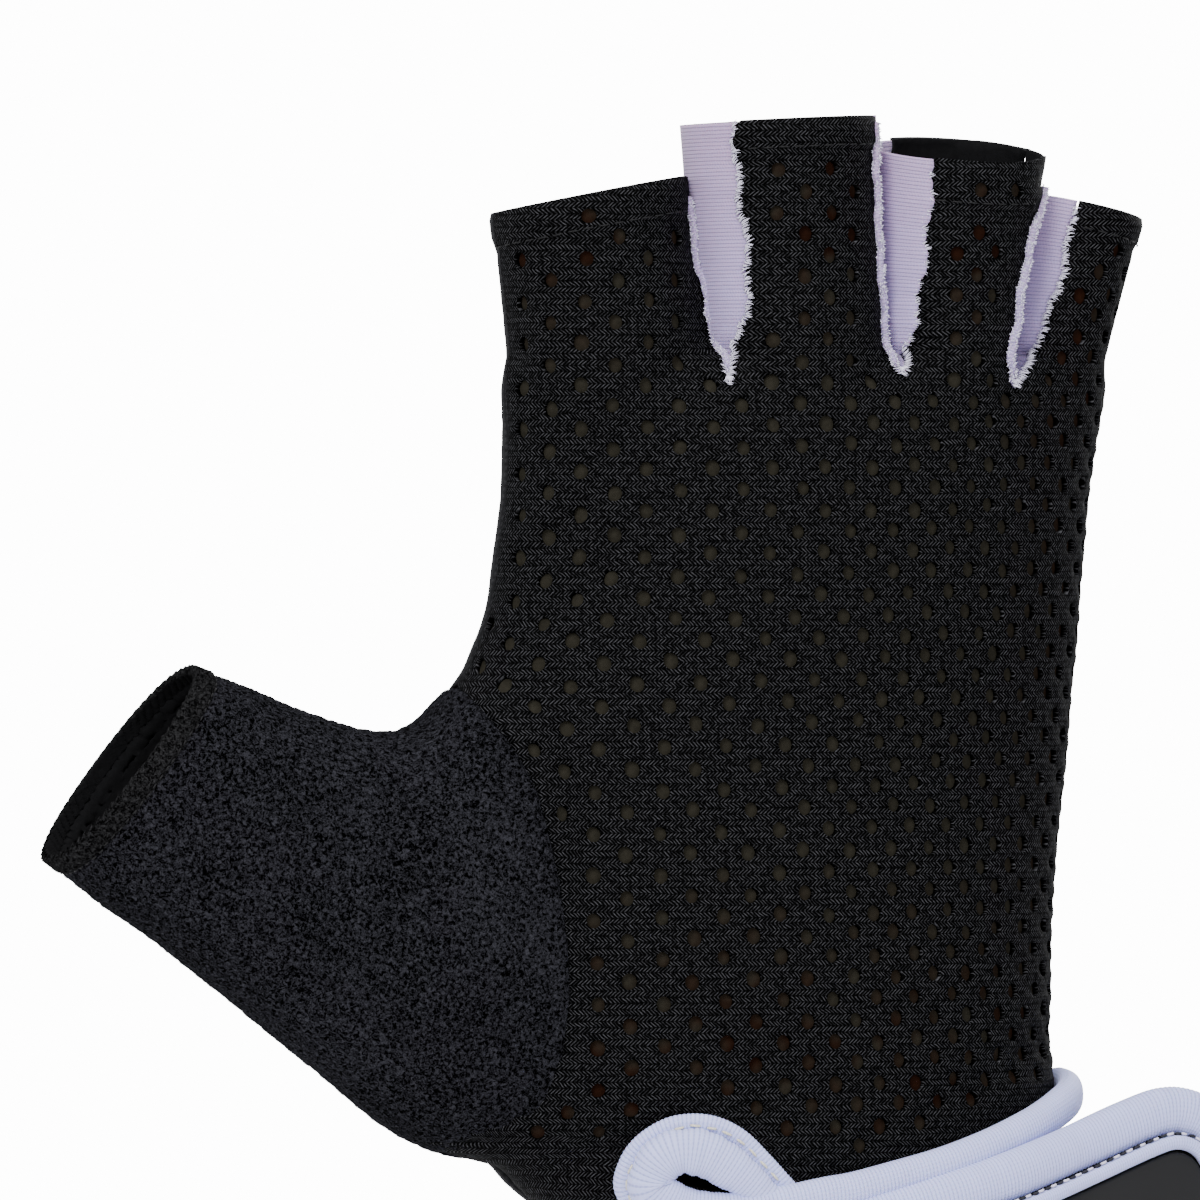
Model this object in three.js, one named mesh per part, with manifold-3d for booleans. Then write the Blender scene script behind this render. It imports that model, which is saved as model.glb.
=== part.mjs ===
// Fingerless training glove for a right hand, filled as if worn.
// Millimetres. X runs from the thumb side to the little-finger side, the back of the hand faces -Y,
// and Z runs up to the fingers from the middle of the wrist opening.
import * as THREE from "three";
import { mergeVertices } from "three/addons/utils/BufferGeometryUtils.js";
import Module from "manifold-3d";

const wasm = await Module();
wasm.setup();

// The hand part
const palmWidth = 88; // across the knuckles
const palmHeight = 152; // wrist opening to the webs between the fingers
const palmDepth = 40; // deepest, near the wrist
const sectionPower = 2.3; // 2 is an ellipse, more is squarer
const wall = 1.5; // fabric
const hemStep = 0.5; // how much thicker a turned hem is
const hemWidth = 5.5;

// Finger stalls and thumb
const fingerLength = 37; // middle finger, from the webs to its rim
const fingerDepth = 24;

// Seams, fits and vents
const gussetTip = 5; // how far a gusset reaches below the inside of the web
const seamGap = 0.3;
const fit = 0.3; // clearance between pieces that lie on each other
const sideSeamSet = 2; // the side seam lies this far towards the palm
const ventWidth = 2.2;
const ventPitchAcross = 15;
const ventPitchUp = 12;
const ventMargin = 2.6; // plain fabric kept along a seam or an edge
const ventSpread = 0.86; // share of the half width that vents reach over
const stallVentSpread = 0.72;

// Bindings
const cuffRollWidth = 4.8;
const cuffRollHeight = 3.8;
const bandWidth = 2.5;
const bandThickness = 1.6;
const keyholeReach = 1.6; // how far the roll laps over the edge of the slit

// Strap
const strapWidth = 32; // over its binding
const strapThickness = 2;
const strapRollWidth = 6.4;
const strapRollHeight = 4.6;
const strapCorner = 10;
const patchThickness = 1.3;
const patchLength = 43;
const pipingWidth = 1.8;

// Round the hand: share of palmHeight, sides as shares of palmWidth, depth and bows as shares of palmDepth.
// A bow sets that side back towards the palm, as the hand's arch does.
const palmRows = [
  { rise: 0, thumbSide: -0.306, littleSide: 0.351, depth: 0.95, thumbBow: 0, littleBow: 0 },
  { rise: 0.129, thumbSide: -0.344, littleSide: 0.351, depth: 1, thumbBow: 0, littleBow: 0.013 },
  { rise: 0.184, thumbSide: -0.415, littleSide: 0.352, depth: 1, thumbBow: 0, littleBow: 0.025 },
  { rise: 0.276, thumbSide: -0.6, littleSide: 0.352, depth: 1, thumbBow: 0, littleBow: 0.05 },
  { rise: 0.359, thumbSide: -0.672, littleSide: 0.352, depth: 0.975, thumbBow: 0, littleBow: 0.075 },
  { rise: 0.451, thumbSide: -0.71, littleSide: 0.355, depth: 0.925, thumbBow: 0, littleBow: 0.1 },
  { rise: 0.543, thumbSide: -0.71, littleSide: 0.369, depth: 0.875, thumbBow: 0, littleBow: 0.113 },
  { rise: 0.636, thumbSide: -0.68, littleSide: 0.39, depth: 0.825, thumbBow: 0.013, littleBow: 0.125 },
  { rise: 0.689, thumbSide: -0.643, littleSide: 0.398, depth: 0.8, thumbBow: 0.025, littleBow: 0.125 },
  { rise: 0.764, thumbSide: -0.589, littleSide: 0.412, depth: 0.765, thumbBow: 0.037, littleBow: 0.138 },
  { rise: 0.866, thumbSide: -0.564, littleSide: 0.431, depth: 0.735, thumbBow: 0.05, littleBow: 0.15 },
  { rise: 0.926, thumbSide: -0.558, littleSide: 0.446, depth: 0.7, thumbBow: 0.062, littleBow: 0.15 },
  { rise: 0.975, thumbSide: -0.548, littleSide: 0.455, depth: 0.6, thumbBow: 0.062, littleBow: 0.15 },
  { rise: 1, thumbSide: -0.515, littleSide: 0.425, depth: 0.3, thumbBow: 0.062, littleBow: 0.15 },
];

// Stalls: centres and widths as shares of palmWidth, set back as a share of palmDepth, length of
// fingerLength, depth of fingerDepth. The rim rises by slope across and by nod from back to palm.
const stallSizes = [
  { foot: -0.4, top: -0.424, set: 0.05, footWidth: 0.3, topWidth: 0.308, depth: 1, length: 0.65 },
  { foot: -0.09, top: -0.114, set: -0.02, footWidth: 0.286, topWidth: 0.3, depth: 1, length: 0.9 },
  { foot: 0.172, top: 0.197, set: 0.01, footWidth: 0.222, topWidth: 0.272, depth: 0.96, length: 0.78 },
  { foot: 0.366, top: 0.418, set: 0.17, footWidth: 0.19, topWidth: 0.2, depth: 0.79, length: 0.53 },
];
const stallRims = [
  { slope: 0.15, nod: 0 },
  { slope: 0.03, nod: 0 },
  { slope: -0.03, nod: 0.12 },
  { slope: -0.22, nod: 0 },
];
const stalls = stallSizes.map((size, i) => ({ ...size, ...stallRims[i] }));

// Up a stall: share of its length from the webs, and how wide and how deep it is there.
const stallRows = [
  { rise: -0.9, wide: 0.5, deep: 0.6 },
  { rise: -0.35, wide: 0.9, deep: 1.02 },
  { rise: 0.05, wide: 1, deep: 1.05 },
  { rise: 0.4, wide: 1, deep: 1 },
];

// Along the thumb, tip to root: the upper and lower edge as shares of palmWidth and palmHeight,
// depth and set-back as shares of palmDepth.
const thumbRows = [
  { upX: -1.076, upZ: 0.712, lowX: -1.307, lowZ: 0.538, depth: 0.62, set: 0.075 },
  { upX: -0.986, upZ: 0.695, lowX: -1.233, lowZ: 0.504, depth: 0.64, set: 0.07 },
  { upX: -0.889, upZ: 0.672, lowX: -1.134, lowZ: 0.463, depth: 0.68, set: 0.06 },
  { upX: -0.794, upZ: 0.654, lowX: -1.013, lowZ: 0.409, depth: 0.73, set: 0.05 },
  { upX: -0.713, upZ: 0.661, lowX: -0.865, lowZ: 0.341, depth: 0.78, set: 0.03 },
  { upX: -0.632, upZ: 0.705, lowX: -0.698, lowZ: 0.272, depth: 0.82, set: 0.01 },
  { upX: -0.53, upZ: 0.72, lowX: -0.51, lowZ: 0.262, depth: 0.8, set: 0 },
  { upX: -0.41, upZ: 0.66, lowX: -0.39, lowZ: 0.33, depth: 0.6, set: 0 },
];

// Round seam between the thumb and the hand, web to wrist.
const thumbSeam = [
  { across: -0.655, rise: 0.7 },
  { across: -0.636, rise: 0.672 },
  { across: -0.6, rise: 0.64 },
  { across: -0.566, rise: 0.595 },
  { across: -0.54, rise: 0.535 },
  { across: -0.522, rise: 0.47 },
  { across: -0.517, rise: 0.415 },
  { across: -0.53, rise: 0.36 },
  { across: -0.556, rise: 0.318 },
  { across: -0.6, rise: 0.282 },
  { across: -0.66, rise: 0.25 },
];

// Gussets between neighbouring stalls. A seam is a share of its stall's half width, measured from the
// stall's middle, and the tip where both seams meet is a share of palmWidth.
const gussets = [
  { name: "fourchette_index_middle", stall: 0, leftSeam: 0.84, rightSeam: 0.64, tip: -0.236 },
  { name: "fourchette_middle_ring", stall: 1, leftSeam: 0.82, rightSeam: 0.62, tip: 0.052 },
  { name: "fourchette_ring_little", stall: 2, leftSeam: 0.78, rightSeam: 0.33, tip: 0.262 },
];

// How a gusset closes below the web: share of gussetTip, and share of its width at the web.
const gussetClosing = [
  { drop: 0, open: 1 },
  { drop: 0.45, open: 0.6 },
  { drop: 1, open: 0.05 },
];

// Creases in the back of the hand: middle, direction in degrees up from +X, half length and
// width as shares of palmWidth, depth as a share of wall.
const creases = [
  { across: -0.5, rise: 0.845, turn: 52, reach: 0.1, width: 0.035, depth: 0.8 },
  { across: -0.47, rise: 0.8, turn: 44, reach: 0.1, width: 0.035, depth: 0.6 },
  { across: -0.46, rise: 0.275, turn: 24, reach: 0.13, width: 0.045, depth: 1.1 },
  { across: 0.26, rise: 0.36, turn: 20, reach: 0.14, width: 0.05, depth: 0.5 },
];

// The cuff edge's roll, from the little-finger side along the edge and round the end of the slit.
// turn is degrees round the hand, 0 at the little-finger side and 90 at the back.
const cuffEdge = [
  { turn: -9, rise: 0.327 },
  { turn: 8, rise: 0.319 },
  { turn: 26, rise: 0.307 },
  { turn: 44, rise: 0.287 },
  { turn: 58, rise: 0.27 },
  { turn: 70, rise: 0.256 },
  { turn: 80, rise: 0.246 },
  { turn: 89, rise: 0.236 },
  { turn: 98, rise: 0.228 },
  { turn: 106, rise: 0.222 },
];
const slitEnd = [
  { across: -0.262, rise: 0.22 },
  { across: -0.31, rise: 0.223 },
  { across: -0.352, rise: 0.23 },
  { across: -0.387, rise: 0.243 },
  { across: -0.383, rise: 0.266 },
  { across: -0.352, rise: 0.279 },
  { across: -0.306, rise: 0.276 },
  { across: -0.272, rise: 0.264 },
];
const keyholeBand = [
  { across: -0.392, rise: 0.219 },
  { across: -0.425, rise: 0.239 },
  { across: -0.424, rise: 0.263 },
  { across: -0.398, rise: 0.284 },
  { across: -0.352, rise: 0.297 },
  { across: -0.296, rise: 0.296 },
  { across: -0.252, rise: 0.283 },
  { across: -0.218, rise: 0.264 },
];

// The middle of the strap, from where it is sewn on to its free end: shares of palmWidth, palmDepth
// and palmHeight.
const strapLine = [
  { across: -0.295, back: -0.27, rise: 0.094 },
  { across: -0.2, back: -0.42, rise: 0.1 },
  { across: -0.06, back: -0.495, rise: 0.12 },
  { across: 0.08, back: -0.49, rise: 0.141 },
  { across: 0.2, back: -0.43, rise: 0.16 },
  { across: 0.36, back: -0.3, rise: 0.189 },
  { across: 0.52, back: -0.21, rise: 0.221 },
  { across: 0.65, back: -0.16, rise: 0.237 },
];

const up = new THREE.Vector3(0, 0, 1);
const farOut = 3 * palmWidth; // well past the glove, for cutting shapes

const mix = THREE.MathUtils.lerp;
const power = (value, exponent) => Math.sign(value) * Math.abs(value) ** exponent;

// A closed mesh as a solid, its faces turned out.
function solidOf(geometry) {
  const bare = new THREE.BufferGeometry();
  bare.setAttribute("position", geometry.getAttribute("position"));
  if (geometry.index) bare.setIndex(geometry.index);
  const merged = mergeVertices(bare, 1e-4);
  const vertProperties = new Float32Array(merged.attributes.position.array);
  const triVerts = new Uint32Array(merged.index.array);
  const made = new wasm.Manifold(new wasm.Mesh({ numProp: 3, vertProperties, triVerts }));
  if (made.volume() > 0) return made;
  for (let i = 0; i < triVerts.length; i += 3) {
    [triVerts[i + 1], triVerts[i + 2]] = [triVerts[i + 2], triVerts[i + 1]];
  }
  return new wasm.Manifold(new wasm.Mesh({ numProp: 3, vertProperties, triVerts }));
}

// Rings of equal length joined into one solid, with flat ends unless it closes on itself.
function loft(rings, closed = false) {
  const count = rings[0].length;
  const points = rings.flat();
  const faces = [];
  const last = closed ? rings.length : rings.length - 1;
  for (let row = 0; row < last; row += 1) {
    const next = (row + 1) % rings.length;
    for (let i = 0; i < count; i += 1) {
      const j = (i + 1) % count;
      faces.push(row * count + i, row * count + j, next * count + j);
      faces.push(row * count + i, next * count + j, next * count + i);
    }
  }
  if (!closed) {
    for (const [row, turned] of [[0, true], [rings.length - 1, false]]) {
      const middle = rings[row].reduce((sum, p) => sum.add(p), new THREE.Vector3());
      points.push(middle.divideScalar(count));
      for (let i = 0; i < count; i += 1) {
        const edge = [row * count + i, row * count + ((i + 1) % count)];
        if (turned) edge.reverse();
        faces.push(...edge, points.length - 1);
      }
    }
  }
  const geometry = new THREE.BufferGeometry().setFromPoints(points);
  geometry.setIndex(faces);
  return solidOf(geometry);
}

// An outline in X and Z cut straight through the hand, from back to palm.
function prism(outline, from = -farOut, to = farOut) {
  const shape = new THREE.Shape(outline.map(([x, z]) => new THREE.Vector2(x, z)));
  const geometry = new THREE.ExtrudeGeometry(shape, { depth: to - from, bevelEnabled: false });
  geometry.rotateX(Math.PI / 2);
  geometry.translate(0, to, 0);
  return solidOf(geometry);
}

// The outline moved out by a distance along its own normals.
function grown(outline, by) {
  const area = THREE.ShapeUtils.area(outline.map(([x, y]) => new THREE.Vector2(x, y)));
  const side = Math.sign(area) * by;
  return outline.map(([x, y], i) => {
    const [ax, ay] = outline[(i + outline.length - 1) % outline.length];
    const [bx, by2] = outline[(i + 1) % outline.length];
    const run = new THREE.Vector2(x - ax, y - ay).normalize();
    const leave = new THREE.Vector2(bx - x, by2 - y).normalize();
    const along = run.clone().add(leave).normalize();
    const stretch = side / Math.max(0.5, along.dot(run));
    return [x + along.y * stretch, y - along.x * stretch];
  });
}

function inside(outline, x, y) {
  let within = false;
  outline.forEach(([ax, ay], i) => {
    const [bx, by] = outline[(i + 1) % outline.length];
    const crosses = ay > y !== by > y;
    if (crosses && x < ax + ((y - ay) / (by - ay)) * (bx - ax)) within = !within;
  });
  return within;
}

// Sizes of the hand part at a height.
function palmAt(z) {
  const rise = THREE.MathUtils.clamp(z / palmHeight, 0, 1);
  const next = Math.max(1, palmRows.findIndex((row) => row.rise >= rise));
  const [low, high] = [palmRows[next - 1], palmRows[next]];
  const share = (rise - low.rise) / (high.rise - low.rise);
  const blend = (column) => mix(low[column], high[column], share);
  const left = blend("thumbSide") * palmWidth;
  const right = blend("littleSide") * palmWidth;
  return {
    middle: (left + right) / 2,
    half: (right - left) / 2,
    deep: (blend("depth") * palmDepth) / 2,
    thumbBow: blend("thumbBow") * palmDepth,
    littleBow: blend("littleBow") * palmDepth,
  };
}

// How far a crease pushes the fabric in at a place on the back.
function creaseAt(x, z) {
  let push = 0;
  for (const crease of creases) {
    const dx = x - crease.across * palmWidth;
    const dz = z - crease.rise * palmHeight;
    const turn = THREE.MathUtils.degToRad(crease.turn);
    const along = (dx * Math.cos(turn) + dz * Math.sin(turn)) / (crease.reach * palmWidth);
    const aside = (dz * Math.cos(turn) - dx * Math.sin(turn)) / (crease.width * palmWidth);
    push += crease.depth * wall * Math.exp(-(along ** 2) - aside ** 2);
  }
  return push;
}

// A point on the hand part, turned degrees round it, moved in by an inset.
function palmPoint(turn, z, inset = 0) {
  const size = palmAt(z);
  const angle = THREE.MathUtils.degToRad(turn);
  const across = power(Math.cos(angle), 2 / sectionPower);
  const back = power(Math.sin(angle), 2 / sectionPower);
  const bow = (across < 0 ? size.thumbBow : size.littleBow) * across ** 2;
  const x = size.middle + (size.half - inset) * across;
  const push = back > 0 ? creaseAt(x, z) : 0;
  return new THREE.Vector3(x, bow - (size.deep - inset - push) * back, z);
}

// The turn round the hand at which its back has a given X.
function turnAt(x, z) {
  const size = palmAt(z);
  const share = THREE.MathUtils.clamp((x - size.middle) / size.half, -1, 1);
  return THREE.MathUtils.radToDeg(Math.acos(power(share, sectionPower / 2)));
}

// Which way the fabric faces there.
function palmNormal(turn, z) {
  const step = 1;
  const round = palmPoint(turn + step, z).sub(palmPoint(turn - step, z));
  const rise = palmPoint(turn, z + step).sub(palmPoint(turn, z - step));
  return rise.cross(round).normalize();
}

function palmSolid(inset) {
  const around = 28;
  const heights = palmRows.map((row) => row.rise * palmHeight);
  if (inset > 0) {
    heights[0] = -wall;
    heights[heights.length - 1] -= inset;
    heights[heights.length - 2] -= inset;
  } else {
    heights.splice(1, 0, hemWidth, hemWidth + hemStep);
  }
  const rings = heights.map((z) => {
    const hem = inset > 0 || z > hemWidth ? 0 : hemStep;
    return Array.from({ length: around }, (_, i) => {
      const point = palmPoint((i * 360) / around, Math.max(z, 0), inset - hem);
      return point.setZ(z);
    });
  });
  return loft(rings);
}

function stallSolid(stall, inset) {
  const around = 16;
  const length = stall.length * fingerLength;
  const cut = inset > 0;
  const rows = stallRows.map((row) => ({ ...row, hem: 0 }));
  if (cut) {
    rows.push({ rise: 1.15, wide: 1, deep: 1, hem: 0 });
  } else {
    rows.push({ rise: 1 - (hemWidth + hemStep) / length, wide: 1, deep: 1, hem: 0 });
    rows.push({ rise: 1 - hemWidth / length, wide: 1, deep: 1, hem: hemStep });
    rows.push({ rise: 1, wide: 1, deep: 1, hem: hemStep });
  }
  return loft(rows.map((row) => {
    const share = Math.max(0, row.rise);
    const middle = mix(stall.foot, stall.top, row.rise) * palmWidth;
    const width = mix(stall.footWidth, stall.topWidth, share) * palmWidth * row.wide;
    const half = width / 2 - inset + row.hem;
    const deep = (stall.depth * fingerDepth * row.deep) / 2 - inset + row.hem;
    return Array.from({ length: around }, (_, i) => {
      const angle = (i * 2 * Math.PI) / around;
      const dx = half * Math.cos(angle);
      const dy = -deep * Math.sin(angle);
      const z = palmHeight + row.rise * length + share * (stall.slope * dx + stall.nod * dy);
      return new THREE.Vector3(middle + dx, stall.set * palmDepth + dy, z);
    });
  }));
}

function thumbSolid(inset) {
  const around = 20;
  const edges = thumbRows.map((row) => ({
    high: new THREE.Vector3(row.upX * palmWidth, row.set * palmDepth, row.upZ * palmHeight),
    low: new THREE.Vector3(row.lowX * palmWidth, row.set * palmDepth, row.lowZ * palmHeight),
    deep: (row.depth * palmDepth) / 2,
    hem: 0,
  }));
  const [tip, next] = edges;
  const outward = tip.high.clone().add(tip.low).sub(next.high).sub(next.low).normalize();
  const moved = (edge, by, hem) => ({
    high: edge.high.clone().addScaledVector(outward, by),
    low: edge.low.clone().addScaledVector(outward, by),
    deep: edge.deep,
    hem,
  });
  if (inset > 0) {
    edges.unshift(moved(tip, hemWidth, 0));
  } else {
    const hem = [moved(tip, 0, hemStep), moved(tip, -hemWidth, hemStep), moved(tip, -hemWidth - hemStep, 0)];
    edges.splice(0, 1, ...hem);
  }
  return loft(edges.map((edge) => {
    const middle = edge.high.clone().add(edge.low).divideScalar(2);
    const arm = edge.high.clone().sub(middle);
    arm.setLength(arm.length() - inset + edge.hem);
    const deep = edge.deep - inset + edge.hem;
    return Array.from({ length: around }, (_, i) => {
      const angle = (i * 2 * Math.PI) / around;
      const across = power(Math.cos(angle), 2 / sectionPower);
      const back = power(Math.sin(angle), 2 / sectionPower);
      return middle.clone().addScaledVector(arm, across).add(new THREE.Vector3(0, -deep * back, 0));
    });
  }));
}

function handSolid(inset) {
  const parts = [palmSolid(inset), thumbSolid(inset), ...stalls.map((stall) => stallSolid(stall, inset))];
  return parts.reduce((sum, part) => sum.add(part));
}

const place = ({ across, rise }) => [across * palmWidth, rise * palmHeight];

// The stall's middle and half width at a height.
function stallAt(stall, z) {
  const share = (z - palmHeight) / (stall.length * fingerLength);
  const width = mix(stall.footWidth, stall.topWidth, Math.max(0, share)) * palmWidth;
  return { middle: mix(stall.foot, stall.top, share) * palmWidth, half: width / 2 };
}

// A gusset seen from the back of the hand: down its left seam to the tip and up its right seam.
function gussetOutline({ stall, leftSeam, rightSeam, tip }) {
  const seams = (z) => {
    const left = stallAt(stalls[stall], z);
    const right = stallAt(stalls[stall + 1], z);
    return [left.middle + left.half * leftSeam, right.middle - right.half * rightSeam];
  };
  const rows = [1.3, 0.8, 0.4, 0.1, 0].map((share) => {
    const z = palmHeight + share * fingerLength;
    return [z, ...seams(z)];
  });
  const [, low, high] = rows[rows.length - 1];
  for (const { drop, open } of gussetClosing) {
    const z = palmHeight - 2 * wall - drop * gussetTip;
    rows.push([z, mix(tip * palmWidth, low, open), mix(tip * palmWidth, high, open)]);
  }
  return [...rows.map(([z, left]) => [left, z]), ...rows.reverse().map(([z, , right]) => [right, z])];
}

function thumbOutline() {
  const seam = thumbSeam.map(place);
  const [, low] = seam[seam.length - 1];
  const [, high] = seam[0];
  return [...seam, [-farOut, low - palmDepth], [-farOut, high + palmDepth]];
}

// Everything on the palm side of the side seams.
function palmSide(shift) {
  const back = sideSeamSet + shift;
  const littleSet = stalls[3].set * palmDepth;
  const line = [
    [-farOut, back],
    [palmWidth / 3, back],
    [palmWidth / 2, back + littleSet],
    [farOut, back + littleSet],
    [farOut, farOut],
    [-farOut, farOut],
  ];
  const shape = new THREE.Shape(line.map(([x, y]) => new THREE.Vector2(x, y)));
  const geometry = new THREE.ExtrudeGeometry(shape, { depth: 2 * farOut, bevelEnabled: false });
  geometry.translate(0, 0, -farOut);
  return solidOf(geometry);
}

// A path on the back of the hand, smoothed, as points with the way the fabric faces there.
function surfacePath(marks, steps, lift) {
  const places = marks.map(({ turn, z }) => new THREE.Vector3(turn, z, 0));
  const curve = new THREE.CatmullRomCurve3(places, false, "centripetal");
  return curve.getPoints(steps).map(({ x: turn, y: z }) => {
    const facing = palmNormal(turn, z);
    return { point: palmPoint(turn, z).addScaledVector(facing, lift), facing };
  });
}

const onBack = ({ across, rise }) => {
  const [x, z] = place({ across, rise });
  return { turn: turnAt(x, z), z };
};

// An oval roll along a path.
function roll(path, width, height, closed = false, sides = 6) {
  const count = path.length;
  const rings = path.map(({ point, facing }, i) => {
    const before = closed ? path[(i + count - 1) % count].point : path[Math.max(0, i - 1)].point;
    const after = closed ? path[(i + 1) % count].point : path[Math.min(count - 1, i + 1)].point;
    const along = after.clone().sub(before).normalize();
    const aside = along.clone().cross(facing).normalize();
    const out = aside.clone().cross(along).normalize();
    return Array.from({ length: sides }, (_, k) => {
      const angle = (k * 2 * Math.PI) / sides;
      return point
        .clone()
        .addScaledVector(aside, (width / 2) * Math.cos(angle))
        .addScaledVector(out, (height / 2) * Math.sin(angle));
    });
  });
  return loft(rings, closed);
}

const strapCurve = new THREE.CatmullRomCurve3(
  strapLine.map(({ across, back, rise }) => {
    const off = fit + strapRollHeight / 2;
    return new THREE.Vector3(across * palmWidth, back * palmDepth - off, rise * palmHeight);
  }),
  false,
  "centripetal",
);
const strapLength = strapCurve.getLength();

// A place on the strap: along from its sewn end, up from its middle, out from its middle surface.
function strapPoint(along, rise, out = 0) {
  const share = THREE.MathUtils.clamp(along / strapLength, 0, 1);
  const point = strapCurve.getPointAt(share);
  const run = strapCurve.getTangentAt(share);
  const facing = run.clone().cross(up).normalize();
  const high = facing.clone().cross(run).normalize();
  point.addScaledVector(run, along - share * strapLength);
  return { point: point.addScaledVector(high, rise).addScaledVector(facing, out), facing };
}

// Half the width of a round-cornered band at a place along it.
function halfWidth(along, from, to, half, corner) {
  const near = Math.min(along - from, to - along);
  if (near >= corner) return half;
  return half - corner + Math.sqrt(corner ** 2 - (corner - near) ** 2);
}

// A flat round-cornered plate that follows the strap.
function plate(from, to, half, corner, low, high) {
  const steps = 16;
  const rings = Array.from({ length: steps + 1 }, (_, i) => {
    const share = (1 - Math.cos((i * Math.PI) / steps)) / 2;
    const along = mix(from, to, share);
    const reach = halfWidth(along, from, to, half, corner);
    const section = [[-reach, low], [0, low], [reach, low], [reach, high], [0, high], [-reach, high]];
    return section.map(([rise, out]) => strapPoint(along, rise, out).point);
  });
  return loft(rings);
}

// The edge of such a plate, as a closed path.
function plateEdge(from, to, half, corner, out) {
  const shape = new THREE.Shape();
  shape.moveTo(from + corner, -half);
  shape.lineTo(to - corner, -half);
  shape.absarc(to - corner, corner - half, corner, -Math.PI / 2, 0, false);
  shape.lineTo(to, half - corner);
  shape.absarc(to - corner, half - corner, corner, 0, Math.PI / 2, false);
  shape.lineTo(from + corner, half);
  shape.absarc(from + corner, half - corner, corner, Math.PI / 2, Math.PI, false);
  shape.lineTo(from, corner - half);
  shape.absarc(from + corner, corner - half, corner, Math.PI, 1.5 * Math.PI, false);
  const points = shape.getSpacedPoints(34).slice(0, -1);
  return points.map(({ x, y }) => strapPoint(x, y, out));
}

function ventSolids(kept) {
  const vents = [];
  const rows = Math.ceil((2 * (palmHeight + fingerLength)) / ventPitchUp);
  const columns = Math.ceil((2 * palmWidth) / ventPitchAcross);
  for (let row = 0; row < rows; row += 1) {
    const z = (row * ventPitchUp) / 2;
    for (let column = -columns; column <= columns; column += 1) {
      const x = (column + (row % 2) / 2) * ventPitchAcross;
      if (!kept(x, z)) continue;
      const hole = Array.from({ length: 6 }, (_, k) => {
        const angle = (k * Math.PI) / 3;
        return [x + (ventWidth / 2) * Math.cos(angle), z + (ventWidth / 2) * Math.sin(angle)];
      });
      vents.push(prism(hole, -farOut, 0));
    }
  }
  return vents;
}

// Where the back has vents: on the hand above the cuff's roll, and on the stalls below their hems.
function ventKept(edges) {
  const seams = [...gussets.map(gussetOutline), thumbOutline()].map((outline) => grown(outline, ventMargin));
  const low = edges.map(({ point }) => [point.x, point.z]);
  const lowEdge = [...low, [-palmWidth, low[low.length - 1][1]], [-palmWidth, -1], [palmWidth, -1]];
  const bare = grown(lowEdge, ventMargin + cuffRollWidth / 2);
  return (x, z) => {
    if (seams.some((outline) => inside(outline, x, z))) return false;
    if (inside(bare, x, z)) return false;
    const size = palmAt(z);
    if (z < palmHeight - 2 * ventMargin) return Math.abs(x - size.middle) < ventSpread * size.half;
    return stalls.some((stall) => {
      const { middle, half } = stallAt(stall, z);
      const rim = palmHeight + stall.length * fingerLength + stall.slope * (x - middle);
      return Math.abs(x - middle) < stallVentSpread * half && z < rim - hemWidth - ventMargin;
    });
  };
}

const group = new THREE.Group();

function addPiece(name, solid, color, roughness) {
  const mesh = solid.getMesh();
  const geometry = new THREE.BufferGeometry();
  geometry.setAttribute("position", new THREE.BufferAttribute(mesh.vertProperties, 3));
  geometry.setIndex(new THREE.BufferAttribute(mesh.triVerts, 1));
  geometry.computeVertexNormals();
  const piece = new THREE.Mesh(geometry, new THREE.MeshStandardMaterial({ color, roughness, metalness: 0 }));
  piece.name = name;
  group.add(piece);
}

const knitBlack = "#1b1b1d";
const terryBlack = "#16161b";
const suedeGrey = "#2c2c30";
const lavender = "#c8cce4";
const ribWhite = "#e2dcea";
const rubberGrey = "#404042";

// The fabric shell: the filled form less the hollow in it
const shell = handSolid(0).subtract(handSolid(wall));
const clearOfHand = handSolid(-fit);

// Bindings on the back of the wrist
const rollLift = fit + cuffRollHeight / 2;
const cuffMarks = cuffEdge.map(({ turn, rise }) => ({ turn, z: rise * palmHeight }));
const cuffPath = surfacePath([...cuffMarks, ...slitEnd.map(onBack)], 44, rollLift);
const cuffRoll = roll(cuffPath, cuffRollWidth, cuffRollHeight).subtract(clearOfHand);
const bandPath = surfacePath(keyholeBand.map(onBack), 18, fit + bandThickness / 2);
const slit = grown(slitEnd.map(place), -keyholeReach);

// Panels, each cut back from its seams by half the gap
const thumbPiece = shell.intersect(prism(grown(thumbOutline(), -seamGap / 2)));
let rest = shell.subtract(prism(grown(thumbOutline(), seamGap / 2)));
for (const gusset of gussets) {
  const outline = gussetOutline(gusset);
  addPiece(gusset.name, rest.intersect(prism(grown(outline, -seamGap / 2))), ribWhite, 0.9);
  rest = rest.subtract(prism(grown(outline, seamGap / 2)));
}
const vents = ventSolids(ventKept(cuffPath));
const backPiece = rest
  .subtract(palmSide(-seamGap / 2))
  .subtract(prism(slit, -farOut, 0))
  .subtract(wasm.Manifold.union(vents));
addPiece("back_panel", backPiece, knitBlack, 0.95);
addPiece("palm_panel", rest.intersect(palmSide(seamGap / 2)), suedeGrey, 0.9);
addPiece("thumb_sleeve", thumbPiece, terryBlack, 1);
addPiece("cuff_binding", cuffRoll, lavender, 0.85);
const clearOfRoll = roll(cuffPath, cuffRollWidth + 2 * fit, cuffRollHeight + 2 * fit);
const clearOfBoth = clearOfHand.add(clearOfRoll);
addPiece("keyhole_band", roll(bandPath, bandWidth, bandThickness).subtract(clearOfBoth), lavender, 0.85);

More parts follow.
